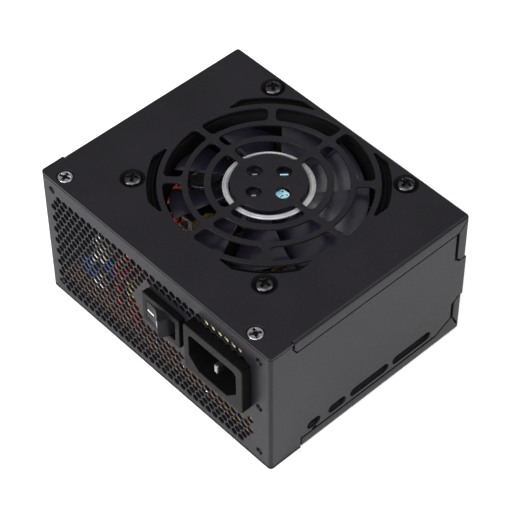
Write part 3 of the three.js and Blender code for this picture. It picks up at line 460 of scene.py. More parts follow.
def inside(points, loops):
    """Whether each point is in the material: an odd number of loop edges lie to its right."""
    odd = np.zeros(len(points), bool)
    for loop in loops:
        a = np.asarray(loop)
        b = np.roll(a, -1, axis=0)
        for (x0, y0), (x1, y1) in zip(a, b):
            if y0 == y1:
                continue
            crosses = (points[:, 1] < y0) != (points[:, 1] < y1)
            where = x0 + (points[:, 1] - y0) * (x1 - x0) / (y1 - y0)
            odd ^= crosses & (points[:, 0] < where)
    return odd


def rim_levels(radius, thickness, steps=3):
    """(inset, depth) rings down a sheared edge: rounded by radius at the outer face and at the back."""
    if radius <= 0:
        return [(0.0, 0.0), (0.0, thickness)]
    quarter = [math.pi / 2 * k / steps for k in range(steps + 1)]
    front = [(radius * (1 - math.sin(a)), radius * (1 - math.cos(a))) for a in quarter]
    return front + [(side, thickness - depth) for side, depth in reversed(front)]


def crease_edges(loops, creases):
    """Pairs of loop points, counted through all the loops, that follow each crease across the material."""
    raw = np.array([p for loop in loops for p in loop])
    edges = []
    for axis, value in creases:
        on_line = [i for i in range(len(raw)) if abs(raw[i][axis] - value) < 1e-5]
        on_line.sort(key=lambda i: raw[i][1 - axis])
        for a, b in zip(on_line, on_line[1:]):
            middle = (raw[a] + raw[b]) / 2
            if np.linalg.norm(raw[a] - raw[b]) > 0.5 and inside(middle[None, :], loops)[0]:
                edges.append((a, b))
    return edges


def sheet(outline, openings, thickness, fold, rim=EDGE, opening_rims=None, creases=()):
    """A flat blank with openings, its sheared edges rounded, folded into place.

    fold maps (u, v, w), with w from 0 on the outer face to -thickness, to a point in space.
    rim and opening_rims are the radii of the edges; creases are the lines that the fold bends along."""
    loops = [list(map(tuple, loop)) for loop in [outline, *openings]]
    loops = [loop if (signed_area(loop) > 0) == (k == 0) else loop[::-1] for k, loop in enumerate(loops)]
    loops = [split_at(loop, creases) for loop in loops]
    radii = [rim] + list(opening_rims or [rim] * len(openings))
    vertices, faces, flat, ids, back, edges = [], [], [], [], [], []
    for loop, radius in zip(loops, radii):
        count = len(loop)
        rows = []
        for side, depth in rim_levels(radius, thickness):
            rows.append(len(vertices))
            vertices.extend([(u, v, -depth) for u, v in inset(loop, side)])
        for low, high in zip(rows, rows[1:]):
            for i in range(count):
                j = (i + 1) % count
                faces.append((low + i, high + i, high + j, low + j))
        edges.extend([(len(flat) + i, len(flat) + (i + 1) % count) for i in range(count)])
        flat.extend([vertices[rows[0] + i][:2] for i in range(count)])
        ids.extend([rows[0] + i for i in range(count)])
        back.extend([rows[-1] + i for i in range(count)])
    edges.extend(crease_edges(loops, creases))
    found = delaunay_2d_cdt([Vector(p) for p in flat], edges, [], 0, 1e-7, True)
    points, triangles, origins = found[0], found[2], found[3]
    front_of, back_of = [], []
    for point, sources in zip(points, origins):
        if sources:
            front_of.append(ids[sources[0]])
            back_of.append(back[sources[0]])
        else:
            front_of.append(len(vertices))
            back_of.append(len(vertices) + 1)
            vertices.extend([(point[0], point[1], 0.0), (point[0], point[1], -thickness)])
    places = np.array([p[:] for p in points])
    rims = np.split(np.array(flat), np.cumsum([len(loop) for loop in loops])[:-1])
    keep = inside(places[np.array(triangles)].mean(axis=1), rims)
    for (a, b, c), kept in zip(triangles, keep):
        if kept:
            faces.append((front_of[a], front_of[b], front_of[c]))
            faces.append((back_of[c], back_of[b], back_of[a]))
    return [fold(*v) for v in vertices], faces


def facing(origin, u, v, w):
    """A fold that is no fold: a flat plate with its outer face at origin, spanned by u and v, facing w."""
    origin, u, v, w = Vector(origin), Vector(u), Vector(v), Vector(w)
    return lambda a, b, c: tuple(origin + float(a) * u + float(b) * v + float(c) * w)


def facing_rear(y):
    """A plate whose outer face looks along -Y at height y: its u is X and its v is Z."""
    return facing((0, y, 0), (1, 0, 0), (0, 0, 1), (0, -1, 0))


def facing_up(z):
    return facing((0, 0, z), (1, 0, 0), (0, 1, 0), (0, 0, 1))


def facing_front(y):
    """A plate whose outer face looks along +Y: its u is -X, so that it still faces out."""
    return facing((0, y, 0), (-1, 0, 0), (0, 0, 1), (0, 1, 0))


def box_part(x, y, z, rim=0.2):
    """A block with rounded vertical edges and rims: x, y and z are (low, high)."""
    outline = [(x[0], y[0]), (x[1], y[0]), (x[1], y[1]), (x[0], y[1])]
    return sheet(outline, [], z[1] - z[0], facing_up(z[1]), rim)


def tube(points, r, sides=12, steps=48):
    """A round wire along a smooth curve through the points, with closed ends."""
    p = [Vector(q) for q in points]
    p = [2 * p[0] - p[1], *p, 2 * p[-1] - p[-2]]
    path = []
    for k in range(steps + 1):
        t = k / steps * (len(p) - 3)
        i = min(int(t), len(p) - 4)
        f = t - i
        a, b, c, d = p[i:i + 4]
        path.append(0.5 * (2 * b + (c - a) * f + (2 * a - 5 * b + 4 * c - d) * f * f
                           + (3 * b - a - 3 * c + d) * f ** 3))
    vertices, faces = [], []
    tangent = (path[1] - path[0]).normalized()
    normal = tangent.orthogonal().normalized()
    for k, centre in enumerate(path):
        new = (path[min(k + 1, steps)] - path[max(k - 1, 0)]).normalized()
        normal = (tangent.rotation_difference(new) @ normal).normalized()
        tangent = new
        across = tangent.cross(normal)
        for i in range(sides):
            a = TAU * i / sides
            vertices.append(tuple(centre + r * (math.cos(a) * normal + math.sin(a) * across)))
    for k in range(steps):
        for i in range(sides):
            j = (i + 1) % sides
            faces.append((k * sides + i, k * sides + j, (k + 1) * sides + j, (k + 1) * sides + i))
    faces.append(tuple(range(sides))[::-1])
    faces.append(tuple(steps * sides + i for i in range(sides)))
    return vertices, faces


# ------------------------------------------------------------------ the two case sheets

BEND_STEPS = 4
BENDS = [FOLD_AT + ARC * k / BEND_STEPS for k in range(BEND_STEPS + 1)]
SIDE_CREASES = [(0, side * at) for at in BENDS for side in (1, -1)]
V_FRONT = FRONT - BEND + ARC                    # where the far panel starts on the wrap's blank
V_LOWER = V_FRONT + HEIGHT - 2 * BEND           # where it ends and the lower bend starts
V_BASE = V_LOWER + ARC                          # where the underside starts
V_END = V_BASE + DEPTH - BEND

TOP_FLANGE_START, TOP_FLANGE_LOW = -38.5, 57.5
BASE_FLANGE_START, BASE_FLANGE_TOP, BASE_FLANGE_RISE = -34.3, 5.0, 36.2
UPPER_TAB_SIDE, UPPER_TAB_LOW = 44.9, 41.4
LOWER_TAB_SIDE, LOWER_TAB_TOP = 45.6, 19.5
RELIEF = 0.6                                    # width of the nick beside the end of a flange
STEP_IN = 1.3                                   # how far the inner sheet steps in behind a flange
SLOTS = [(-31.6, -24.9), (-20.8, -11.8), (-9.6, 10.6), (12.7, 33.2)]
SLOT_LOW, SLOT_HIGH = 7.4, 11.6


def fold_rear(u, v, w):
    """The inner sheet: u runs round the rear panel and both sides, v is height."""
    side, s = math.copysign(1, u), abs(u) - FOLD_AT
    if s <= 0:
        return (u, REAR - w, v)
    if s < ARC:
        a = s / ARC * math.pi / 2
        reach = BEND + w
        return (side * (FOLD_AT + reach * math.sin(a)), REAR + BEND - reach * math.cos(a), v)
    return (side * (RIGHT + w), REAR + BEND + s - ARC, v)


def wrap_profile(v):
    """Y and Z of the wrap's outer face at v along its blank, and the Y and Z of the way it faces."""
    s = v - (FRONT - BEND)
    if s <= 0:
        return v, HEIGHT, 0.0, 1.0
    if s < ARC:
        a = s / ARC * math.pi / 2
        return FRONT - BEND + BEND * math.sin(a), HEIGHT - BEND + BEND * math.cos(a), math.sin(a), math.cos(a)
    if v <= V_LOWER:
        return FRONT, HEIGHT - BEND - (v - V_FRONT), 1.0, 0.0
    if v < V_BASE:
        a = (v - V_LOWER) / ARC * math.pi / 2
        return FRONT - BEND + BEND * math.cos(a), BEND - BEND * math.sin(a), math.cos(a), -math.sin(a)
    return FRONT - BEND - (v - V_BASE), 0.0, 0.0, -1.0


def fold_wrap(u, v, w):
    """The outer sheet: v runs over the fan side, the far panel and the underside; u is across."""
    y, z, ny, nz = wrap_profile(v)
    side, s = math.copysign(1, u), abs(u) - FOLD_AT
    unfolded = v < TOP_FLANGE_START - RELIEF / 2 or v > V_BASE + FRONT - BEND - BASE_FLANGE_START + RELIEF / 2
    if s <= 0 or unfolded:
        return (u, y + w * ny, z + w * nz)
    if s < ARC:
        a = s / ARC * math.pi / 2
        lift = (BEND + w) * math.cos(a) - BEND
        return (side * (FOLD_AT + (BEND + w) * math.sin(a)), y + lift * ny, z + lift * nz)
    drop = BEND + s - ARC
    return (side * (RIGHT + w), y - drop * ny, z - drop * nz)


def both_sides(right):
    """A blank's outline from its right half, which runs from low v to high v."""
    return right + [(-u, v) for u, v in reversed(right)]


def on_side_wall(y, z):
    return (FOLD_AT + ARC + y - (REAR + BEND), z)


def on_top_flange(y, z):
    return (FOLD_AT + ARC + HEIGHT - BEND - z, y)


def on_tab(y, z):
    return (FOLD_AT + ARC + FRONT - BEND - y, V_FRONT + HEIGHT - BEND - z)


def on_base_flange(y, z):
    return (FOLD_AT + ARC + z - BEND, V_BASE + FRONT - BEND - y)


def rear_outline():
    """The inner sheet's blank, cut back behind the wrap's flanges and tabs."""
    shelf = BASE_FLANGE_TOP + BASE_SEAM
    right = [
        (BASE_FLANGE_START - SEAM, INNER_LOW), (BASE_FLANGE_START - SEAM, shelf),
        *arc((-28.0, shelf), 1.2, math.pi, 0, 10),
        (BASE_FLANGE_RISE, shelf), (LOWER_TAB_SIDE - 1.5, 10.1), (LOWER_TAB_SIDE - 1.5, 17.7),
        (LOWER_TAB_SIDE + 1.4, LOWER_TAB_TOP + SEAM), (FRONT, LOWER_TAB_TOP + SEAM),
        (FRONT, UPPER_TAB_LOW - SEAM), (UPPER_TAB_SIDE + 1.4, UPPER_TAB_LOW - SEAM),
        (UPPER_TAB_SIDE - 1.5, 43.4), (UPPER_TAB_SIDE - 1.5, TOP_FLANGE_LOW - SEAM),
        (TOP_FLANGE_START + 1.0, TOP_FLANGE_LOW - SEAM), (TOP_FLANGE_START - 0.45, 59.3),
        (TOP_FLANGE_START - 1.1, 60.3), (TOP_FLANGE_START - 1.1, INNER_HIGH),
    ]
    return both_sides([on_side_wall(y, z) for y, z in right])


def slot_outline(span, low, high, steps=10):
    r = (high - low) / 2
    middle = (low + high) / 2
    return (arc((span[1] - r, middle), r, -math.pi / 2, math.pi / 2, steps)
            + arc((span[0] + r, middle), r, math.pi / 2, 1.5 * math.pi, steps))


def wrap_outline():
    """The outer sheet's blank, with its flanges, tabs and mitred corners."""
    edge = FOLD_AT - 0.1
    pole = FOLD_AT + ARC
    top_nick = TOP_FLANGE_START - RELIEF
    base_nick = V_BASE + FRONT - BEND - BASE_FLANGE_START
    tab_low = V_FRONT + HEIGHT - BEND - UPPER_TAB_LOW
    tab_high = V_FRONT + HEIGHT - BEND - LOWER_TAB_TOP
    right = [
        *arc((RIGHT - BEND, REAR + BEND), BEND, -math.pi / 2, 0, 6),
        (RIGHT, top_nick), (edge, top_nick), (edge, TOP_FLANGE_START),
        on_top_flange(TOP_FLANGE_START, 59.3), on_top_flange(TOP_FLANGE_START + 1.4, TOP_FLANGE_LOW),
        on_top_flange(44.6, TOP_FLANGE_LOW), on_top_flange(48.1, 61.0),
        (pole, FRONT - BEND), (pole, V_FRONT),
        on_tab(48.5, 60.7), on_tab(UPPER_TAB_SIDE, 57.1), on_tab(UPPER_TAB_SIDE, 43.4),
        on_tab(UPPER_TAB_SIDE + 1.8, UPPER_TAB_LOW), (edge, tab_low), (edge, tab_high),
        on_tab(LOWER_TAB_SIDE + 1.8, LOWER_TAB_TOP), on_tab(LOWER_TAB_SIDE, 17.7),
        on_tab(LOWER_TAB_SIDE, 9.7), on_tab(48.5, 4.0),
        (pole, V_LOWER), (pole, V_BASE),
        on_base_flange(48.2, 3.0), on_base_flange(44.9, 9.45),
        on_base_flange(BASE_FLANGE_RISE, BASE_FLANGE_TOP), on_base_flange(BASE_FLANGE_START, BASE_FLANGE_TOP),
        (edge, base_nick), (edge, base_nick + RELIEF), (RIGHT, base_nick + RELIEF),
        *arc((RIGHT - BEND, V_END - BEND), BEND, 0, math.pi / 2, 6),
    ]
    return both_sides(right)


# ---- honeycomb

HEX_PITCH, HEX_ROW, HEX_FLATS = 3.55, 3.09, 2.95
HEX_TOP, HEX_LEFT, HEX_ROWS = 54.4, -56.4, 17
HEX_GAP_FROM = {2: -6, 3: -7.5, 4: -9, 5: -10.5, 6: -10.5, 7: -10.5, 8: -9, 9: -7.5, 10: 16.5, 11: 15}
HEX_GAP_TO = 48.5
HEX_RIGHT = {0: 47.5, 1: 49, 2: 50.5, 13: 53, 14: 51.5, 15: 49, 16: 47.5}


def hexagon_allowed(row, x):
    """Whether the honeycomb has a hole here: it leaves out its corners, the switch and the inlet."""
    end_distance = min(row, HEX_ROWS - 1 - row)
    if end_distance < 2 and x < HEX_LEFT + 3 - 2 * end_distance:
        return False
    if row in HEX_GAP_FROM and x > HEX_GAP_FROM[row]:
        return row == 11 and x > HEX_GAP_TO and x < 52.5
    return x < HEX_RIGHT.get(row, 53)


def hexagons():
    """The outline of every hole in the rear panel's honeycomb, each with a corner at the top."""
    corners = [polar(HEX_FLATS / math.sqrt(3), math.radians(90 + 60 * i)) for i in range(6)]
    found = []
    for row in range(HEX_ROWS):
        z = HEX_TOP - row * HEX_ROW
        x = HEX_LEFT + (row % 2) * HEX_PITCH / 2
        while x < RIGHT:
            if hexagon_allowed(row, x):
                found.append([(x + u, z + v) for u, v in corners])
            x += HEX_PITCH
    return found


def rectangle(centre, width, height):
    (x, y), w, h = centre, width / 2, height / 2
    return [(x - w, y - h), (x + w, y - h), (x + w, y + h), (x - w, y + h)]


MOUNT_R = 1.62                                  # the five holes for the case's screws
HOUSING_CUTS = [(INLET, 27.8, 20.8), (SWITCH, 19.4, 14.4)]
HONEYCOMB_RIM, OPENING_RIM, SCREW_SEAT_RIM, GRILLE_RIM = 0.1, 0.12, 0.0, 0.16
FLANGE_SIDE, FLANGE_DEPTH = 60, 8.5             # the strips that the rear panel folds inwards


def stepped_edges():
    """The edges of the inner sheet's sides, which step in behind the wrap's flanges and tabs."""
    upper = [
        (TOP_FLANGE_START - 3, INNER_HIGH), (TOP_FLANGE_START - 3, TOP_FLANGE_LOW - 2),
        (UPPER_TAB_SIDE - 3, TOP_FLANGE_LOW - 2), (UPPER_TAB_SIDE - 3, UPPER_TAB_LOW - 2),
        (INNER_FRONT, UPPER_TAB_LOW - 2), (INNER_FRONT, INNER_HIGH),
    ]
    lower = [
        (BASE_FLANGE_START - 2, INNER_LOW), (INNER_FRONT, INNER_LOW), (INNER_FRONT, LOWER_TAB_TOP + 2),
        (LOWER_TAB_SIDE - 3, LOWER_TAB_TOP + 2), (LOWER_TAB_SIDE - 3, 10.8),
        (BASE_FLANGE_RISE - 0.5, 7.2), (BASE_FLANGE_START - 2, 7.2),
    ]
    strips = []
    for side in (1, -1):
        fold = facing((side * (RIGHT - STEP_IN), 0, 0), (0, 1, 0), (0, 0, 1), (side, 0, 0))
        for outline in (upper, lower):
            strip = sheet(outline, [], SHEET, fold)
            strips.append(strip if side > 0 else turned_over(strip))
    return combine(*strips)


def rear_shell():
    """The inner sheet: rear panel with its honeycomb, sides with their vents, and stepped edges."""
    honeycomb = hexagons()
    openings = list(honeycomb)
    openings += [circle(at, MOUNT_R, 28) for at in MOUNT_HOLES]
    openings += [rectangle(*cut) for cut in HOUSING_CUTS]
    for side in (1, -1):
        for span in SLOTS:
            outline = slot_outline(span, SLOT_LOW, SLOT_HIGH)
            openings.append([(side * on_side_wall(y, z)[0], z) for y, z in outline])
    rims = [HONEYCOMB_RIM] * len(honeycomb) + [OPENING_RIM] * (len(openings) - len(honeycomb))
    panel = sheet(rear_outline(), openings, SHEET, fold_rear, EDGE, rims, SIDE_CREASES)
    flanges = [box_part((-FLANGE_SIDE, FLANGE_SIDE), (REAR + SHEET, REAR + FLANGE_DEPTH), span)
               for span in ((INNER_HIGH - SHEET, INNER_HIGH), (INNER_LOW, 2 * SHEET + GAP))]
    make("case_rear_and_sides", combine(panel, *flanges), "powder_coat",
         ["rear_shell"], 30, True)
    make("case_stepped_edges", stepped_edges(), "recess_shadow", ["rear_shell"], 30, True)


# ---- fan grille

GRILLE_RINGS = [(14.6, 21.5, 4), (24.2, 30.1, 4), (32.4, 39.5, 8)]
SPOKE, DIAGONAL = 2.4, 3.0
CORNER_INNER, CORNER_OUTER, CORNER_LIMIT = 41.7, 45.4, 39.5
CORNER_START = math.radians(22.5)
HUB_HOLE_AT, HUB_HOLE_R = 7.75, 3.0


def ring_slot(inner, outer, start, stop, web_start, web_stop, r=2.0):
    """The outline of a slot between two rings and two straight spokes, with round corners."""
    quarter = math.pi / 2
    far, near = outer - r, inner + r
    a, b = start + math.asin((web_start / 2 + r) / far), stop - math.asin((web_stop / 2 + r) / far)
    c, d = stop - math.asin((web_stop / 2 + r) / near), start + math.asin((web_start / 2 + r) / near)
    steps = max(8, round((b - a) * outer / 1.2))
    return [*arc(polar(far, a), r, start - quarter, a, 7),
            *arc((0, 0), outer, a, b, steps)[1:-1],
            *arc(polar(far, b), r, b, stop + quarter, 7),
            *arc(polar(near, c), r, stop + quarter, c + math.pi, 7),
            *arc((0, 0), inner, c, d, steps)[1:-1],
            *arc(polar(near, d), r, d + math.pi, start + 3 * quarter, 7)]


def grille_openings():
    """The stamped grille: slots between its rings and spokes, four corner openings, four hub holes."""
    outlines = []
    for inner, outer, count in GRILLE_RINGS:
        step = TAU / count
        for i in range(count):
            webs = (SPOKE, SPOKE) if count == 4 else (SPOKE, DIAGONAL)
            webs = webs if i % 2 == 0 else webs[::-1]
            outlines.append(ring_slot(inner, outer, i * step, (i + 1) * step, *webs))
    start, stop = CORNER_START, math.acos(CORNER_LIMIT / CORNER_OUTER)
    cut = CORNER_LIMIT / math.cos(start)
    corner = [*arc((0, 0), CORNER_OUTER, stop, math.pi / 2 - stop, 16), polar(cut, math.pi / 2 - start),
              *arc((0, 0), CORNER_INNER, math.pi / 2 - start, start, 20), polar(cut, start)]
    for i in range(4):
        turn = i * math.pi / 2
        c, s = math.cos(turn), math.sin(turn)
        outlines.append([(x * c - y * s, x * s + y * c) for x, y in corner])
        outlines.append(circle(polar(HUB_HOLE_AT, turn), HUB_HOLE_R, 32))
    return [[(x, y + FAN_Y) for x, y in outline] for outline in outlines]


# Each output socket: its node, its pins in a row, and its middle's place across and up the far panel.
SOCKETS = [
    ("motherboard_socket_18", 9, -34.0, 33.0), ("motherboard_socket_10", 5, 1.5, 33.0),
    ("processor_socket", 4, 26.5, 33.0), ("graphics_socket", 4, -44.5, 17.5),
    ("drive_socket", 3, -23.5, 17.5),
]
SOCKET_PITCH, SOCKET_HEIGHT, SOCKET_HOLE, SOCKET_PROUD = 4.2, 9.6, 3.2, 1.0
DIMPLE_R, DIMPLE_DEPTH, DIMPLE_HOLE = 4.9, 0.6, 2.2
SEAT_R, SEAT_DEPTH, SEAT_BORE = 3.5, 0.65, 1.8


def wrap_shell():
    """The outer sheet: fan side with its grille, far panel and underside, and its screws' seats."""
    grille = grille_openings()
    seats = [circle(at, DIMPLE_R, 40) for at in FAN_SCREWS]
    seats += [circle(at, SEAT_R, 32) for at in COVER_SCREWS]
    seats += [circle((x, V_BASE + FRONT - BEND - y), SEAT_R, 32) for x, y in COVER_SCREWS]
    cuts = [rectangle((x, V_FRONT + HEIGHT - BEND - z), SOCKET_PITCH * pins + 1.8, SOCKET_HEIGHT + 0.6)
            for _, pins, x, z in SOCKETS]
    rims = [GRILLE_RIM] * len(grille) + [SCREW_SEAT_RIM] * len(seats) + [EDGE] * len(cuts)
    creases = SIDE_CREASES + [(1, at + ARC * k / BEND_STEPS) for at in (FRONT - BEND, V_LOWER)
                              for k in range(BEND_STEPS + 1)]
    shell = sheet(wrap_outline(), grille + seats + cuts, SHEET, fold_wrap, EDGE, rims, creases)
    dimple = lathe([(DIMPLE_R, 0), (4.6, -0.03), (4.2, -0.22), (3.9, -0.48), (3.6, -DIMPLE_DEPTH),
                    (DIMPLE_HOLE, -DIMPLE_DEPTH), (DIMPLE_HOLE, -1.5), (4.4, -1.4), (DIMPLE_R, -SHEET)],
                   40, True)
    dimples = [shifted(turned_over(dimple), x, y, HEIGHT) for x, y in FAN_SCREWS]
    # The dimples take the near-black finish, as painted shade round the fan screws.
    make("fan_screw_dimples", combine(*dimples), "painted_shade_plastic", smooth=40)
    seat = turned_over(lathe([(SEAT_R, 0), (SEAT_R - 0.12, -0.12), (SEAT_R - 0.12, -SEAT_DEPTH),
                              (SEAT_BORE, -SEAT_DEPTH), (SEAT_BORE, -SHEET), (SEAT_R, -SHEET)], 32, True))
    dishes = []
    for x, y in COVER_SCREWS:
        dishes += [shifted(seat, x, y, HEIGHT), shifted(upside_down(seat), x, y)]
    make("case_wrap", combine(shell, *dishes), "powder_coat", ["wrap_shell"], 30, True)


# ------------------------------------------------------------------ screws


def cross_head(profile, reach, width, depth, rings=26, spokes=96):
    """A screw head whose top follows profile, (radius, height) from its middle out, with a cross recess."""
    soft_wall, soft_end, rise_outwards = 0.16, 0.22, 0.55
    radii = [r for r, _ in profile]
    heights = [z for _, z in profile]
    plain = [r for r in radii if r > reach * 1.3]
    steps = sorted({*np.linspace(0.06, reach * 1.25, rings), *plain, radii[-1]})
    vertices, faces = [(0.0, 0.0, heights[0] - depth)], []
    for r in steps:
        for i in range(spokes):
            x, y = polar(r, TAU * i / spokes)
            along, across = max(abs(x), abs(y)), min(abs(x), abs(y))
            wall = min(max((width / 2 - across) / soft_wall + 0.5, 0.0), 1.0)
            end = min(max((reach - along) / soft_end + 0.5, 0.0), 1.0)
            fall = depth * (1 - rise_outwards * along / reach)
            sink = fall * wall * wall * (3 - 2 * wall) * end * end * (3 - 2 * end)
            vertices.append((x, y, float(np.interp(r, radii, heights)) - max(sink, 0.0)))
    for i in range(spokes):
        faces.append((0, 1 + i, 1 + (i + 1) % spokes))
    for k in range(len(steps) - 1):
        for i in range(spokes):
            a, b = 1 + k * spokes + i, 1 + k * spokes + (i + 1) % spokes
            faces.append((a, a + spokes, b + spokes, b))
    return vertices, faces


def paint_shade(piece, chosen):
    """Gives the chosen faces of a piece the near-black finish, as painted shade."""
    piece.data.materials.append(FINISH["painted_shade_plastic"])
    for face in piece.data.polygons:
        if chosen(face):
            face.material_index = 1


def paint_shade_in_cross(piece, middle, turn, reach, width):
    """Paints shade, with the near-black finish, on the faces inside a head's cross recess."""
    back = Matrix.Rotation(-turn, 3, "Z")

    def in_recess(face):
        place = back @ (face.center / MM - Vector((*middle, face.center.z / MM)))
        along, across = max(abs(place.x), abs(place.y)), min(abs(place.x), abs(place.y))
        return along < reach and across < width / 2 and abs(face.normal.z) > 0.05

    paint_shade(piece, in_recess)


def paint_shade_on_walls(piece):
    """Paints shade, with the near-black finish, on every face that doesn't look out of the rear panel."""
    paint_shade(piece, lambda face: face.normal.y > -0.4)


FAN_SCREW_TURNS = (48, 8, 40, 15)       # degrees that each cross is turned by
COVER_SCREW_TURNS = (20, 62)


def fan_screws():
    """Domed screws with a thin flange, sunk half a millimetre into the grille's dimples."""
    radius, reach, width = 3.6, 2.3, 1.15
    dome = [(0.985 * radius * math.sin(a), 1.62 * (math.cos(a) ** 0.8)) for a in np.linspace(0, 1.5, 14)]
    head = cross_head([*dome, (radius, 0.12), (radius, 0.0)], reach, width, 1.25)
    shank = turned_over(lathe([(radius, 0.0), (1.8, 0.0), (1.8, -6.0), (0, -6.0)], 32))
    places = [FAN_SCREWS[1], FAN_SCREWS[3], FAN_SCREWS[0], FAN_SCREWS[2]]
    for i, ((x, y), degrees) in enumerate(zip(places, FAN_SCREW_TURNS)):
        turn = math.radians(degrees)
        part = shifted(turned_z(combine(head, shank), turn), x, y, HEIGHT - 0.5)
        piece = make(f"fan_screw_head_{i + 1}", part, "dark_screw", [f"fan_screw_{i + 1}"], 40)
        paint_shade_in_cross(piece, (x, y), turn, reach, width)


def cover_screws():
    """Flat bright screws, two in the fan side and two below them in the underside."""
    radius, reach, width = 3.0, 2.25, 1.2
    top = [(0, 0), (2.5, 0), (2.7, -0.02), (2.9, -0.14), (radius, -0.3), (radius, -0.5)]
    shank = turned_over(lathe([(radius, -0.5), (1.2, -0.5), (1.2, -4.5), (0, -4.5)], 28))
    flat = combine(cross_head(top, reach, width, 0.95), shank)
    for i, ((x, y), degrees) in enumerate(zip(COVER_SCREWS, COVER_SCREW_TURNS)):
        turn = math.radians(degrees)
        upper = shifted(turned_z(flat, turn), x, y, HEIGHT - 0.05)
        lower = shifted(upside_down(flat), x, y, 0.05)
        for name, part, angle in (("cover", upper, turn), ("base", lower, 0.0)):
            piece = make(f"{name}_screw_head_{i + 1}", part, "bright_steel",
                         [f"{name}_screw_{i + 1}"], 40)
            paint_shade_in_cross(piece, (x, y), angle, reach, width)


def mount_holes():
    """The drawn collars behind the mounting holes, with a few turns of thread."""
    thread = [(MOUNT_R if k % 2 else 1.44, -0.5 - 0.4 * k) for k in range(6)]
    collar = lathe([(MOUNT_R, 0.02), (1.55, -0.1), (1.5, -0.3), *thread, (1.7, -3.0), (2.6, -3.0),
                    (2.6, -SHEET), (1.75, -SHEET)], 28, True)
    collars = [shifted(laid_back(turned_over(collar)), x, REAR, z) for x, z in MOUNT_HOLES]
    # The collars take the dark thread finish, as painted shade inside the mounting holes.
    make("mount_hole_threads", combine(*collars), "thread", smooth=25)


# ------------------------------------------------------------------ mains inlet and switch


def cavity_outline(grow=0.0):
    """The inlet's opening: round upper corners and sloping lower ones."""
    (cx, cz), w, h, cut, r = CAVITY, 12.5 + grow, 8.25 + grow, 5.0, 2.0
    return [(cx - w + cut, cz - h), (cx + w - cut, cz - h), (cx + w, cz - h + cut),
            *arc((cx + w - r, cz + h - r), r, 0, math.pi / 2, 6),
            *arc((cx - w + r, cz + h - r), r, math.pi / 2, math.pi, 6), (cx - w, cz - h + cut)]


INLET_PROUD, INLET_FLOOR, INLET_BACK = 4.4, -37.5, -34.0
INLET_BLADES = [("line", -7.0, 2.25, 4.5), ("neutral", 7.0, 2.25, 4.5), ("earth", 0.0, -1.75, 1.8)]


def inlet():
    """The mains inlet: its shroud, the well behind it and three blades, each set back by its own depth."""
    shroud = sheet(rounded_rectangle(INLET, 31, 24.5, 1.5, 6), [cavity_outline()], INLET_PROUD - 0.1,
                   facing_rear(REAR - INLET_PROUD), 0.45, [0.25])
    wall = rectangle(INLET, 27.2, 20.2)
    neck = sheet(wall, [cavity_outline(0.05)], INLET_FLOOR - REAR + 0.2, facing_rear(REAR - 0.2), 0.1)
    floor_plate = sheet(wall, [], INLET_BACK - INLET_FLOOR, facing_rear(INLET_FLOOR), 0.1)
    front = make("inlet_shroud", shroud, "black_plastic", ["inlet_housing"], 32, True)
    # Painted shade: the shroud's faces that don't look out of the panel, and the whole well, take the
    # near-black finish.
    paint_shade_on_walls(front)
    make("inlet_well", combine(neck, floor_plate), "painted_shade_plastic", ["inlet_housing"],
         32, True)
    for name, x, z, recess in INLET_BLADES:
        blade = blade_part(2.0, 4.0, INLET_FLOOR - (REAR - INLET_PROUD + recess), 0.9)
        tail = laid_back(box_part((-0.4, 0.4), (-1.9, 1.9), (-6.0, 0.5), 0.05))
        part = combine(blade, shifted(tail, 0, INLET_BACK - INLET_FLOOR, 0))
        make(f"inlet_blade_{name}", shifted(part, CAVITY[0] + x, INLET_FLOOR, CAVITY[1] + z),
             "bright_steel", [f"inlet_pin_{name}"], 40, True)


def blade_part(width, height, length, nose):
    """A flat contact blade standing out along -Y from y = 0, with a chamfered nose."""
    outline = rounded_rectangle((0, 0), width, height, 0.3, 3)
    rows = [(0.0, 3.5), (0.0, -(length - nose)), (0.18, -(length - 0.4 * nose)), (0.5, -length)]
    vertices, faces = [], []
    for amount, y in rows:
        vertices.extend([(u, y, v) for u, v in (inset(outline, amount * 0.6) if amount else outline)])
    n = len(outline)
    for k in range(len(rows) - 1):
        for i in range(n):
            j = (i + 1) % n
            faces.append((k * n + i, k * n + j, (k + 1) * n + j, (k + 1) * n + i))
    faces.append(tuple(range(n))[::-1])
    faces.append(tuple((len(rows) - 1) * n + i for i in range(n)))
    return vertices, faces


ROCKER_PIVOT, ROCKER_TILT, ROCKER_HEIGHT = -48.3, -20.5, 9.3
ROCKER_TIP, ROCKER_VALLEY, ROCKER_RISE = 5.36, -5.75, 1.35
WELL = (15.6, 9.9)


def rocker_face(u):
    """How far out, along -Y, the rocker's face stands u mm from its middle, before it is tilted."""
    return ROCKER_VALLEY - ROCKER_RISE * (abs(u) / ROCKER_TIP) ** 1.5


def rocker_profile():
    """Across the rocker before it is tilted: its hollow face, rounded tips and tapered back."""
    face = [(u, rocker_face(u)) for u in np.linspace(-ROCKER_TIP, ROCKER_TIP, 23)]
    right = [(5.62, -6.98), (5.8, -6.6), (6.0, -5.7), (6.2, -3.8),
             (5.95, -1.9), (5.3, 0), (4.1, 2.1), (2.5, 3.4)]
    left = [(-u, v) for u, v in reversed(right)]
    return [*face, *right, *left]


def mark_plate(side, outline, holes, reach):
    """A thin printed mark lying on one half of the rocker's face, between the two points of reach."""
    near, far = (Vector((side * u, rocker_face(u), 0)) for u in reach)
    across = (far - near).normalized() * side
    out = Vector((across.y, -across.x, 0))
    middle = near.lerp(far, 0.5) + 0.06 * out
    return sheet(outline, holes, 0.1, facing(middle, across, out.cross(across), out), 0.02)


SWITCH_PROUD, SWITCH_FLOOR, SWITCH_BACK = 3.0, -43.2, -38.0


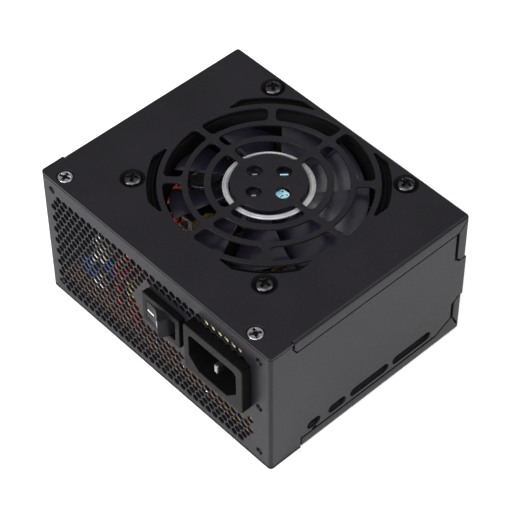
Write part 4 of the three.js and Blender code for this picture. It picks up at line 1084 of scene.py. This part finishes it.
def switch():
    """The mains switch: its bezel and well, and the rocker with its two printed marks."""
    bezel = sheet(rounded_rectangle(SWITCH, 20.5, 15.5, 1.0, 5), [rounded_rectangle(SWITCH, *WELL, 0.6, 3)],
                  SWITCH_PROUD - 0.1, facing_rear(REAR - SWITCH_PROUD), 0.4, [0.3])
    wall = rectangle(SWITCH, 19, 14)
    well = sheet(wall, [rectangle(SWITCH, *WELL)], SWITCH_FLOOR - REAR + 0.2, facing_rear(REAR - 0.2), 0.1)
    floor_plate = sheet(wall, [], SWITCH_BACK - SWITCH_FLOOR, facing_rear(SWITCH_FLOOR), 0.1)
    front = make("switch_body", combine(bezel, well, floor_plate), "black_plastic",
                 ["switch_housing"], 32, True)
    # Painted shade: the body's faces that don't look out of the panel take the near-black finish.
    paint_shade_on_walls(front)

    def tilted(part):
        turn = math.radians(ROCKER_TILT)
        return shifted(turned_z(part, turn), SWITCH[0], ROCKER_PIVOT, SWITCH[1])

    paddle = sheet(rocker_profile(), [], ROCKER_HEIGHT, facing_up(ROCKER_HEIGHT / 2), 0.35)
    pins = lathe([(0, -5.5), (1.1, -5.5), (1.1, 5.5), (0, 5.5)], 20)
    make("switch_paddle", tilted(combine(paddle, pins)), "rocker_plastic", ["rocker"],
         36, True, "switch_rocker")
    bar = mark_plate(-1, rounded_rectangle((0, 0), 3.8, 0.55, 0.2, 3), [], (1.0, 5.0))
    ring = mark_plate(1, circle((0, 0), 1.35, 28), [circle((0, 0), 0.95, 28)], (1.4, 4.6))
    make("switch_marks", tilted(combine(bar, ring)), "mark_white", (),
         36, body="switch_rocker")


# ------------------------------------------------------------------ fan

BLADE_COUNT, BLADE_TIP, BLADE_SWEEP, BLADE_CHORD = 9, 37.3, 15, 36.5
BLADE_LOW, BLADE_HIGH, BLADE_THICK = 50.8, 60.2, 0.9
HUB_R, HUB_BOTTOM = 15.0, 50.2
FRAME_BOTTOM = FAN_TOP - 15.0
FRAME_HALF, BORE, MOUTH, MOUTH_SIDE = 40.0, 38.6, 46.8, 39.3
MOUTH_STEPS = 192
LIP_INNER, LIP_OUTER, LIP_DEPTH = 42.9, 43.5, 1.9       # thin ribs in the corners of the mouth
LIP_ENDS = (math.radians(25), math.radians(65))
CUP_R = 13.5


def fan_blade(start, across=18, along=12):
    """A thin twisted blade, higher on its leading side, with rounded edges."""
    root = HUB_R - 0.6
    vertices = []
    for face in (1, -1):
        for j in range(along + 1):
            s = j / along
            r = root + (BLADE_TIP - root) * s
            for i in range(across + 1):
                t = i / across
                angle = start + math.radians(BLADE_SWEEP * math.sqrt(s) + BLADE_CHORD * t * (1 - 0.06 * s))
                span = (BLADE_HIGH - BLADE_LOW) * (0.86 - 0.16 * s)
                middle = (BLADE_HIGH + BLADE_LOW) / 2 + (t - 0.5) * span + 1.1 * math.sin(math.pi * t) - 0.6
                edge = min(t, 1 - t, (1 - s) * 1.2) * 12
                thick = BLADE_THICK
                if edge < 1:
                    thick *= math.sqrt(min(1.0, 0.12 + edge * (2 - edge)))
                vertices.append((*polar(r, angle), middle + face * thick / 2))
    wide = across + 1
    count = wide * (along + 1)
    faces = []
    for j in range(along):
        for i in range(across):
            a = j * wide + i
            faces.append((a, a + wide, a + wide + 1, a + 1))
            faces.append((count + a, count + a + 1, count + a + wide + 1, count + a + wide))
    border = [*range(across), *[across + j * wide for j in range(along)],
              *[along * wide + across - i for i in range(across)],
              *[(along - j) * wide for j in range(along)]]
    for k, a in enumerate(border):
        b = border[(k + 1) % len(border)]
        faces.append((a, b, count + b, count + a))
    return vertices, faces


def fan_piece(name, part, finish, nodes=(), smooth=38.0):
    """A piece that turns with the fan, modelled about the origin."""
    make(name, shifted(part, 0, FAN_Y), finish, nodes, smooth, body="fan")


def fan():
    """The turning parts: blades, hub with its label, and bright ring. Then the frame that holds them."""
    blades = [fan_blade(TAU * i / BLADE_COUNT) for i in range(BLADE_COUNT)]
    fan_piece("fan_blades", combine(*blades), "fan_plastic", ["fan_rotor"], 50)
    top, core = HUB_TOP, HUB_R - 1.4
    hub = lathe([(0, top - 0.4), (12.4, top - 0.4), (12.6, top - 0.5), (13.4, top - 0.5), (13.6, top - 0.4),
                 (14.2, top - 0.45), (14.7, top - 0.75), (HUB_R, top - 1.3), (HUB_R, HUB_BOTTOM),
                 (core, HUB_BOTTOM), (core, top - 1.8), (0, top - 1.8)], 72)
    fan_piece("fan_hub", turned_over(hub), "fan_plastic", ["fan_rotor"], 35)
    label = lathe([(0, top - 0.32), (12.0, top - 0.32), (12.1, top - 0.4)], 72)
    fan_piece("fan_hub_label", turned_over(label), "hub_label", (), 35)
    grooved = [(15.1, 0.1), (17.2, 0.1), (17.5, 0.35), (17.45, 0.75), (17.2, 0.98), (16.9, 1.0),
               (16.7, 0.78), (16.45, 0.78), (16.2, 0.98), (15.9, 0.98), (15.7, 0.68), (15.45, 0.68),
               (15.3, 0.55), (15.15, 0.45)]
    ring = lathe([(r, top + z) for r, z in grooved], 96, True)
    fan_piece("fan_trim_ring", ring, "trim_satin", ["fan_hub_ring"], 40)
    hub_painted_glints(top - 0.24)
    fan_frame()


def hub_painted_glints(height, thickness=0.08):
    """Painted glints on the hub's foil label: one large and pale blue, the others slivers."""
    lean = math.radians(47.5)
    c, s = math.cos(lean), math.sin(lean)

    def field(outline, bars=()):
        return sheet(outline, list(bars), thickness, facing_up(height), 0.02)

    def sliver(x, y, length):
        straight = slot_outline((-length / 2, length / 2), -0.35, 0.35, 5)
        return field([(x + u * c - v * s, FAN_Y + y + u * s + v * c) for u, v in straight])

    bars = [circle((5.3, FAN_Y + 1.9), 0.45, 10), rectangle((6.8, FAN_Y + 0.2), 0.5, 1.5),
            rectangle((7.6, FAN_Y + 1.9), 0.9, 0.45)]
    blue = field(rounded_rectangle((6.3, FAN_Y + 1.0), 4.8, 4.2, 1.4, 4), bars)
    make("fan_hub_painted_glint_blue", combine(blue, sliver(-0.7, 8.4, 3.2)), "painted_glint_blue", (),
         35, body="fan")
    # Painted glints in grey, on the label's other slivers.
    grey = [sliver(x, y, 2.0) for x, y in ((-8.4, 0.5), (-0.6, -7.2))]
    make("fan_hub_painted_glints_grey", combine(*grey), "trim_satin", (), 35, body="fan")


def flare(rim, bore, top, deep, rows=10):
    """The trumpet-shaped inlet of the duct: from its rim, a radius for each direction, down to the bore."""
    count = len(rim)
    vertices, faces = [], []
    for k in range(rows + 1):
        a = math.pi / 2 * k / rows
        for i, r in enumerate(rim):
            radius = r + (bore - r) * math.sin(a)
            vertices.append((*polar(radius, TAU * i / count), top - deep * (1 - math.cos(a))))
    for k in range(rows):
        for i in range(count):
            a, b = k * count + i, k * count + (i + 1) % count
            faces.append((a, a + count, b + count, b))
    return shifted((vertices, faces), 0, FAN_Y)


def fan_frame():
    """The open square frame with its round duct, four struts and the motor cup."""
    outline = rounded_rectangle((0, FAN_Y), 2 * FRAME_HALF, 2 * FRAME_HALF, 3.5, 6)
    screw_holes = [circle(at, 2.1, 20) for at in FAN_SCREWS]
    turns = np.linspace(0, TAU, MOUTH_STEPS + 1)[:-1]
    rim = [min(MOUTH, MOUTH_SIDE / max(abs(math.cos(a)), abs(math.sin(a)))) for a in turns]
    wide = [(r * math.cos(TAU * i / MOUTH_STEPS), FAN_Y + r * math.sin(TAU * i / MOUTH_STEPS))
            for i, r in enumerate(rim)]
    upper = sheet(outline, [wide, *screw_holes], 1.2, facing_up(FAN_TOP), 0.3, [0.1] + [0.3] * 4)
    lower = sheet(outline, [circle((0, FAN_Y), BORE, 96), *screw_holes], 3.2,
                  facing_up(FRAME_BOTTOM + 3.2), 0.3)
    parts = [upper, lower, flare(rim, BORE, FAN_TOP - 1.1, 6.4)]
    lip = arc((0, 0), LIP_OUTER, *LIP_ENDS, 16) + arc((0, 0), LIP_INNER, *LIP_ENDS[::-1], 16)
    rib = sheet(lip, [], LIP_DEPTH, facing_up(FAN_TOP - 0.3), 0.1)
    parts += [shifted(turned_z(rib, math.radians(90 * i)), 0, FAN_Y) for i in range(4)]
    wall, wall_low, wall_high = FRAME_HALF - 0.2, FRAME_BOTTOM + 2, FAN_TOP - 7.4
    duct = lathe([(BORE, wall_low), (wall, wall_low), (wall, wall_high), (BORE, wall_high)], 96, True)
    parts.append(shifted(duct, 0, FAN_Y))
    post = lathe([(3.4, FRAME_BOTTOM + 1), (3.4, FAN_TOP - 1)], 20)
    parts += [shifted(post, x, y) for x, y in FAN_SCREWS]
    arm = box_part((11, BORE + 0.6), (-1.6, 1.6), (FRAME_BOTTOM, FRAME_BOTTOM + 1.6), 0.3)
    parts += [shifted(turned_z(arm, math.radians(45 + 90 * i)), 0, FAN_Y) for i in range(4)]
    cup = lathe([(0, FRAME_BOTTOM), (CUP_R - 0.3, FRAME_BOTTOM), (CUP_R, FRAME_BOTTOM + 0.3),
                 (CUP_R, FRAME_BOTTOM + 2), (0, FRAME_BOTTOM + 2)], 60)
    parts.append(shifted(cup, 0, FAN_Y))
    # The frame is black plastic; its finish is darkened further as painted shade in the mouth and the corner
    # openings.
    make("fan_duct", combine(*parts), "painted_shade_plastic", ["fan_frame"], 35, True)


# ------------------------------------------------------------------ boards, sockets and wires

BOARD_LOW, BOARD_HIGH, DECK = 8.9, 10.5, 10.8
BOARD_SCREWS = [(-54.0, -37.0), (54.0, -37.0), (-55.0, 33.5), (55.0, 33.5)]
BOARD_SIDE, BOARD_REAR, BOARD_FRONT = 58.5, -48.3, 37.5
SOLDER_SEED, SOLDER_COUNT = 7, 190


def boards():
    """The main board with its slots, solder joints strewn near its rear edge, and the socket board."""
    outline = [(-BOARD_SIDE, BOARD_REAR), (BOARD_SIDE, BOARD_REAR), (BOARD_SIDE, BOARD_FRONT),
               (-BOARD_SIDE, BOARD_FRONT)]
    holes = [circle(at, 1.7, 16) for at in BOARD_SCREWS]
    slots = [rectangle((-27, -34), 1.6, 9), rectangle((4, -6), 1.6, 20), rectangle((30, -30), 12, 1.6)]
    plate = sheet(outline, holes + slots, BOARD_HIGH - BOARD_LOW, facing_up(BOARD_HIGH), 0.1)
    make("circuit_board", plate, "board", ["main_board"], 35, True)
    pads, random = [], np.random.default_rng(SOLDER_SEED)
    for _ in range(SOLDER_COUNT):
        x, y = random.uniform(-56, 56), random.uniform(-47.5, -20)
        r = random.uniform(0.5, 1.0)
        pad = lathe([(r, 0), (r * 0.9, 0.16), (r * 0.45, 0.55), (0, 0.7)], 10)
        pads.append(shifted(turned_over(pad), x, y, BOARD_HIGH))
    make("solder_joints", combine(*pads), "bright_steel", (), 50)
    notch = rectangle((-54, 25.5), 2, 12)
    plate = sheet(rectangle((0, 25.5), 117, 37), [notch], 1.6, facing_front(40.0), 0.1)
    # The socket board is darkened as painted shade, for the shade it stands in under the fan.
    make("output_board", plate, "painted_shade_laminate", ["socket_board"], 35, True)


def sockets():
    """Output sockets: a block with two rows of keyed holes, and a contact in each hole."""
    contacts = []
    for name, pins, x, z in SOCKETS:
        width = SOCKET_PITCH * pins + 1.2
        holes = []
        for i in range(pins):
            for row in (-0.5, 0.5):
                u, v = (i - (pins - 1) / 2) * SOCKET_PITCH, row * SOCKET_PITCH
                cut = 0.8 if (i + (row > 0)) % 2 else 0.25
                holes.append(chamfered((-(x + u), z + v), SOCKET_HOLE, cut))
                contacts.append(shifted(socket_contact(), x + u, FRONT + SOCKET_PROUD - 7.6, z + v))
        front = sheet(rounded_rectangle((-x, z), width, SOCKET_HEIGHT, 0.5, 3), holes, 8.0,
                      facing_front(FRONT + SOCKET_PROUD), 0.25, [0.18] * len(holes))
        back = sheet(rectangle((-x, z), width, SOCKET_HEIGHT), [], 2.6, facing_front(FRONT - 7.0), 0.1)
        make(f"{name}_block", combine(front, back), "socket_plastic", [name], 35, True)
    make("socket_contacts", combine(*contacts), "brass", (), 40)


def chamfered(centre, size, cut):
    """A square hole whose two upper corners are cut off."""
    (x, y), h = centre, size / 2
    return [(x - h, y - h), (x + h, y - h), (x + h, y + h - cut), (x + h - cut, y + h),
            (x - h + cut, y + h), (x - h, y + h - cut)]


def socket_contact():
    """A short square pin pointing out of a socket hole, with a tapered tip."""
    rows = [(0.5, 0.0), (0.5, 4.2), (0.2, 5.0)]
    corners = ((-1, -1), (1, -1), (1, 1), (-1, 1))
    vertices = [(s * h, y, t * h) for h, y in rows for s, t in corners]
    faces = [(k + i, k + 4 + i, k + 4 + (i + 1) % 4, k + (i + 1) % 4) for k in (0, 4) for i in range(4)]
    return vertices, [*faces, (8, 11, 10, 9)]


WIRE_R, THIN_WIRE_R = 1.1, 0.75


def wires():
    """The fixed leads, each through points chosen so that it clears its neighbours."""
    ix, iz, tail = CAVITY[0], CAVITY[1], -27.6
    sx, sy, sz, foot = SWITCH[0], -30.6, SWITCH[1], DECK + 0.3
    runs = [
        ("inlet_line_lead", "brown_wire", "line_wire_inlet", WIRE_R,
         [(ix - 7, tail, iz + 2.25), (ix - 7, tail + 2.6, iz + 2.25), (26, -22.3, 41.4), (17, -22.6, 40.5),
          (sx + 5, sy + 4.5, sz), (sx + 5, sy, sz)]),
        ("board_line_lead", "brown_wire", "line_wire_board", WIRE_R,
         [(sx - 5, sy, sz), (sx - 5, sy + 3, sz), (-2, -26.5, 35), (-8, -31, 26), (-10, -33.5, 17),
          (-10, -33.5, foot)]),
        ("neutral_lead", "blue_wire", "neutral_wire", WIRE_R,
         [(ix + 7, tail, iz + 2.25), (ix + 7, tail + 2.6, iz + 2), (44.5, -22, 34), (44, -22, 24),
          (42, -25, 15), (42, -25, foot)]),
        ("earth_lead", "green_wire", "earth_wire", WIRE_R,
         [(ix, tail, iz - 1.75), (ix, tail + 2.6, iz - 2), (36.5, -22.5, 31), (36, -23, 22),
          (35, -26, 14.5), (35, -26, foot)]),
        ("fan_red_lead", "red_wire", "fan_lead", THIN_WIRE_R,
         [(-29, -29, 46.6), (-29, -28.6, 44.5), (-23, -21, 37), (-18, -22, 27), (-17, -25, 20),
          (-17, -25, 18.1)]),
        ("fan_black_lead", "black_wire", None, THIN_WIRE_R,
         [(-27.2, -29.6, 46.6), (-27.2, -29, 44), (-21, -22.6, 37), (-16.4, -23.4, 27), (-15.6, -25.6, 20),
          (-15.4, -25.4, 18.1)]),
    ]
    for name, finish, node, r, points in runs:
        make(name, tube(points, r), finish, [node] if node else (), 60)


# ------------------------------------------------------------------ parts on the main board


def board_piece(name, part, finish, nodes=(), smooth=38.0, weighted=False):
    """A piece that stands on the main board."""
    make(name, part, finish, nodes, smooth, weighted)


def can(name, r, height, at, node):
    """An electrolytic capacitor: shrunk sleeve, bare scored top."""
    top = DECK + height
    sleeve = lathe([(0, DECK), (r - 0.4, DECK), (r, DECK + 0.4), (r, DECK + 1.4), (r - 0.35, DECK + 2.0),
                    (r, DECK + 2.6), (r, top - 0.9), (r - 0.3, top - 0.3), (r - 0.9, top),
                    (r - 1.6, top - 0.05), (r - 1.7, top - 0.4)], 56)
    board_piece(name, shifted(turned_over(sleeve), *at), "sleeve", [node], 40)
    score = [(0, top - 0.3), (r - 1.5, top - 0.3), (r - 1.4, top - 0.3)]
    lid = cross_head(score, (r - 1.5) * 0.7, 0.6, 0.25)
    board_piece(f"{name}_lid", shifted(lid, *at), "aluminium", (), 40)


def disc(name, r, thick, at, lift, finish, node, along_y=False):
    """A dipped disc: a lens with a thick rounded rim and two bare legs. It stands along X, or along Y."""
    shoulder = thick * 0.35
    profile = [(0, thick / 2)] + [(r - shoulder + shoulder * math.sin(a), thick / 2 * math.cos(a))
                                  for a in np.linspace(0.2, math.pi - 0.2, 9)] + [(0, -thick / 2)]
    body = laid_back(lathe(profile, 44))
    if along_y:
        body = turned_z(body, math.pi / 2)
    x, y = at
    z = DECK + lift + r
    board_piece(name, shifted(turned_over(body), x, y, z), finish, [node], 50)
    u, v = (0, 1) if along_y else (1, 0)
    legs = [tube([(x + s * u * r * 0.4, y + s * v * r * 0.4, z - r * 0.8),
                  (x + s * u * r * 0.5, y + s * v * r * 0.5, z - r - 0.5),
                  (x + s * u * r * 0.5, y + s * v * r * 0.5, DECK - 0.1)], 0.35, 8, 8) for s in (-1, 1)]
    board_piece(f"{name}_legs", combine(*legs), "bright_steel")


def choke(name, inner, outer, height, turns, at, node):
    """A ring core lying flat, with separate turns of enamelled wire laid over it."""
    x, y = at
    low, high = DECK + 1.4, DECK + height - 1.4
    core = lathe([(inner + 1.2, low), (outer - 0.8, low), (outer - 0.8, high), (inner + 1.2, high)], 40, True)
    board_piece(f"{name}_core", shifted(core, x, y), "ferrite", (), 30)
    middle, reach, rise = (inner + outer) / 2, (outer - inner) / 2 - 0.2, height / 2 - 1.0
    loops = []
    for k in range(turns):
        a = math.radians(20 + 320 * k / (turns - 1))
        points = []
        for i in range(13):
            t = TAU * i / 12
            c, s = math.cos(t), math.sin(t)
            r = middle + reach * math.copysign(abs(c) ** 0.5, c)
            z = (low + high) / 2 + rise * math.copysign(abs(s) ** 0.5, s)
            points.append((x + r * math.cos(a), y + r * math.sin(a), z))
        loops.append(tube(points, 0.62, 8, 30))
    board_piece(name, combine(*loops), "copper", [node], 60)


def transformer(name, at, size, node):
    """A taped winding between the halves of a ferrite core, on a bobbin with a thick foot."""
    (x, y), (w, d, h) = at, size
    deep, limb, core_top = (y - d / 4, y + d / 4), 1.6, DECK + h + 1.5
    core = [box_part((x - w / 2, x + w / 2), deep, (DECK + h - 2.6, core_top), 0.3)]
    for side in (-1, 1):
        middle = x + side * (w / 2 - limb)
        core.append(box_part((middle - limb, middle + limb), deep, (DECK + 2.5, core_top), 0.3))
    board_piece(f"{name}_core", combine(*core), "ferrite", (), 30, True)
    winding = rounded_rectangle((x, y), w - 7, d - 2, 4.5, 6)
    tape = sheet(winding, [], h - 7, facing_up(DECK + h - 3), 0.5)
    board_piece(name, tape, "yellow_tape", [node], 35, True)
    cheek = rounded_rectangle((x, y), w - 4.2, d, 1.5, 4)
    bobbin = [sheet(cheek, [], 1.4, facing_up(z), 0.2) for z in (DECK + h - 1.6, DECK + 4.2)]
    foot = (x - w / 2 + 2.4, x + w / 2 - 2.4)
    bobbin.append(box_part(foot, (y - d / 2, y + d / 2), (DECK, DECK + 2.8), 0.2))
    board_piece(f"{name}_bobbin", combine(*bobbin), "epoxy", (), 35, True)


def boxed(name, x, y, z, finish, node, rim=0.8):
    """A moulded box: rounded corners all round and a shallow step below its lid."""
    outline = rounded_rectangle(((x[0] + x[1]) / 2, (y[0] + y[1]) / 2), x[1] - x[0], y[1] - y[0], rim, 4)
    body = sheet(outline, [], z[1] - z[0] - 0.6, facing_up(z[1]), 0.4)
    foot = sheet([tuple(p) for p in inset(outline, 0.5)], [], 0.8, facing_up(z[0] + 0.8), 0.1)
    board_piece(name, combine(body, foot), finish, [node] if node else (), 35, True)


def blob(name, centre, size, seed):
    """A lump of hot-melt glue: a ball pushed out of round by a few smooth waves."""
    random = np.random.default_rng(seed)
    waves = [(Vector(random.normal(size=3)), random.uniform(0, TAU), random.uniform(0.05, 0.16))
             for _ in range(7)]
    ball, faces = lathe([(math.sin(a), math.cos(a)) for a in np.linspace(0, math.pi, 15)], 28)
    points = []
    for v in ball:
        p = Vector(v).normalized()
        swell = 1 + sum(h * math.sin(2.2 * p.dot(n) + phase) for n, phase, h in waves)
        points.append(tuple(c + s * q * swell for c, s, q in zip(centre, size, p)))
    board_piece(name, turned_over((points, faces)), "glue", (), 80)


def loose_leads():
    """Leads with no node of their own: one beside the panel, and an arched pair under the fan."""
    upright = [(-27, -44, 11), (-27.5, -45, 24), (-25.8, -45.6, 36), (-23, -43, 42), (-20, -37, 44.4)]
    board_piece("orange_lead", tube(upright, 1.0), "orange_wire", (), 60)
    arch = [(-33, -14.5, 10.5), (-35.2, -10.2, 28), (-36, -7.6, 43.6), (-32, -5, 39), (-29.5, -8, 10.5)]
    pair = [tube([(x + u, y + v, z) for x, y, z in arch], 1.2) for u, v in ((-0.9, -1.0), (0.9, 1.0))]
    board_piece("red_lead_pair", combine(*pair), "red_wire", (), 60)


def fuse():
    """The mains fuse: a ceramic tube with a cap at each end, lying along X."""
    body, cap, cap_from, half = 2.3, 2.6, 5.5, 10.0
    right = [(body, cap_from - 0.2), (cap, cap_from), (cap, half - 0.3), (body, half), (0, half)]
    profile = [(r, -z) for r, z in reversed(right)] + right
    lying = moved(turned_over(lathe(profile, 32)), Matrix.Rotation(math.pi / 2, 4, "Y"))
    board_piece("mains_fuse", shifted(lying, -46, -31, DECK + 3.2), "cream_plastic", ["fuse"], 40)


def board_parts():
    """Everything that stands on the main board."""
    disc("blue_disc_1", 4.6, 3.2, (-46.4, -42.5), 2.5, "blue_ceramic", "suppressor_disc_1")
    disc("blue_disc_2", 4.6, 3.2, (-38.6, -38.6), 4.0, "blue_ceramic", "suppressor_disc_2")
    disc("red_varistor", 6.5, 3.8, (-29.7, -37.0), 2.0, "red_ceramic", "varistor", True)
    disc("inrush_disc", 5.0, 4.0, (-22.0, -30.0), 2.0, "dark_ceramic", "thermistor")
    choke("filter_choke_winding", 4.0, 9.5, 15, 22, (-46, -16), "line_choke")
    choke("boost_choke_winding", 3.5, 8.5, 14, 20, (-41.5, 28), "boost_choke")
    choke("output_choke_winding", 4.0, 9.5, 13, 22, (46, -8), "output_choke")
    can("reservoir_capacitor", 10.0, 31, (-38, 8), "bulk_capacitor")
    can("smoothing_capacitor", 5.0, 20, (42, 20), "output_capacitor")
    transformer("main_winding", (2, 12), (26, 28, 25), "main_transformer")
    transformer("standby_winding", (14, -18), (14, 16, 14), "standby_transformer")
    boxed("film_capacitor_top", (26, 45.5), (-48.3, -37), (50.2, 60.0), "pale_film", "line_capacitor")
    boxed("film_capacitor", (-13, 6), (-27, -18), (DECK, DECK + 16), "yellow_tape", "filter_capacitor")
    boxed("bridge_package", (-16.8, -12.8), (-13, 7), (18, 34), "epoxy", "bridge_rectifier", 0.3)
    boxed("transistor_package", (-17.4, -13), (12, 27), (17, 37), "epoxy", "power_transistor", 0.3)
    boxed("red_film_capacitor", (-20, -15), (-46, -42), (DECK, 22), "red_ceramic", None, 0.5)
    boxed("olive_film_capacitor", (-24.6, -20.4), (-43.2, -39), (DECK, 27), "olive_film", None, 0.5)
    loose_leads()
    fuse()
    blob("glue_lump_1", (-43.5, -40.5, 23.5), (4.2, 2.6, 3.4), 3)
    blob("glue_lump_2", (-39.5, -43.5, 15.0), (3.6, 2.4, 3.0), 5)


# ------------------------------------------------------------------ CAD pieces that stay as they are

KEPT = {
    "switch_terminal_in": "brass", "switch_terminal_out": "brass", "fan_stator": "copper",
    "fan_bearing": "brass", "fan_shaft": "bright_steel", "fan_plug": "cream_plastic",
    "insulating_sheet": "cream_plastic", "primary_heatsink": "aluminium", "secondary_heatsink": "aluminium",
    **{f"board_screw_{i + 1}": "bright_steel" for i in range(len(BOARD_SCREWS))},
}


def finish_kept_nodes():
    """Gives the CAD pieces that are shown as they are a finish."""
    for name, finish in KEPT.items():
        paint(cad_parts[name], finish)


# ------------------------------------------------------------------ floor, lights and camera


FLOOR_HALF, FLOOR_DROP = 3.0, 0.0003            # metres


def floor():
    """A pale matt floor, barely uneven, on which the unit stands."""
    mesh = bpy.data.meshes.new("floor")
    mesh.from_pydata([(x, y, 0) for x, y in rectangle((0, 0), 2 * FLOOR_HALF, 2 * FLOOR_HALF)], [],
                     [(0, 1, 2, 3)])
    plane = bpy.data.objects.new("floor", mesh)
    plane.location.z = -FLOOR_DROP
    bpy.context.scene.collection.objects.link(plane)
    material, tree, shader = node_material("floor_paper")
    drift = noise_texture(tree, 9, 3.0)
    drive(tree, shader, "Base Color", drift, across_noise((0.92, 0.92, 0.925), (0.94, 0.94, 0.945)))
    put(shader, {"Roughness": 0.85})
    mesh.materials.append(material)


def area_light(name, place, target, size, power):
    """A rectangular lamp of so many watts, aimed at a target; places and sizes are in metres."""
    data = bpy.data.lights.new(name, "AREA")
    data.shape = "RECTANGLE"
    data.size, data.size_y = size
    data.energy = power
    lamp = bpy.data.objects.new(name, data)
    lamp.location = place
    lamp.rotation_euler = (Vector(target) - Vector(place)).to_track_quat("-Z", "Y").to_euler()
    bpy.context.scene.collection.objects.link(lamp)


def lights():
    """A soft key on the camera's side, and surroundings that are dark at the horizon and pale above."""
    world = bpy.data.worlds.new("studio")
    world.use_nodes = True
    tree = world.node_tree
    background = tree.nodes["Background"]
    where = tree.nodes.new("ShaderNodeTexCoord")
    split = tree.nodes.new("ShaderNodeSeparateXYZ")
    tree.links.new(where.outputs["Generated"], split.inputs["Vector"])
    sky = ramp(tree, split.outputs["Z"], [(0.0, 0.05), (0.35, 0.09), (0.6, 0.8), (0.85, 0.9)])
    tree.links.new(sky, background.inputs["Color"])
    background.inputs["Strength"].default_value = 0.9
    bpy.context.scene.world = world
    bpy.context.scene.view_settings.view_transform = "Standard"
    area_light("key", (0.5, -1.3, 1.5), (0, 0, 0), (2.0, 2.0), 56)
    area_light("fill", (1.2, 0.7, 1.5), (0, 0, 0.03), (1.6, 1.6), 26)
    area_light("low", (-0.35, -1.4, 0.5), (-0.02, -0.04, 0.03), (0.5, 0.4), 22)


# Found by fitting the case's corners to the photo: degrees, metres, millimetres of lens, and shifts as
# parts of the picture's width.
AZIMUTH, ELEVATION, ROLL = math.radians(47.493), math.radians(47.774), math.radians(-0.55)
CAMERA_DISTANCE, CAMERA_AIM_HEIGHT = 0.75234, HEIGHT / 2 * MM
LENS, SENSOR, SHIFT = 134.61, 36, (0.02126, -0.02827)


def camera():
    """The photo's own view. The azimuth turns from -Y towards +X."""
    a, e = AZIMUTH, ELEVATION
    back = Vector((math.sin(a) * math.cos(e), -math.cos(a) * math.cos(e), math.sin(e)))
    right = Vector((math.cos(a), math.sin(a), 0))
    up = back.cross(right)
    across = math.cos(ROLL) * right + math.sin(ROLL) * up
    rise = back.cross(across)
    data = bpy.data.cameras.new("camera")
    data.sensor_width, data.lens = SENSOR, LENS
    data.shift_x, data.shift_y = SHIFT
    data.clip_start, data.clip_end = 0.05, 20
    eye = bpy.data.objects.new("camera", data)
    turn = Matrix((across, rise, back)).transposed().to_4x4()
    eye.matrix_world = Matrix.Translation(Vector((0, 0, CAMERA_AIM_HEIGHT)) + CAMERA_DISTANCE * back) @ turn
    bpy.context.scene.collection.objects.link(eye)
    bpy.context.scene.camera = eye


# ------------------------------------------------------------------ the scene

rear_shell()
wrap_shell()
fan_screws()
cover_screws()
mount_holes()
inlet()
switch()
fan()
boards()
sockets()
wires()
board_parts()
finish_kept_nodes()
floor()
lights()
camera()
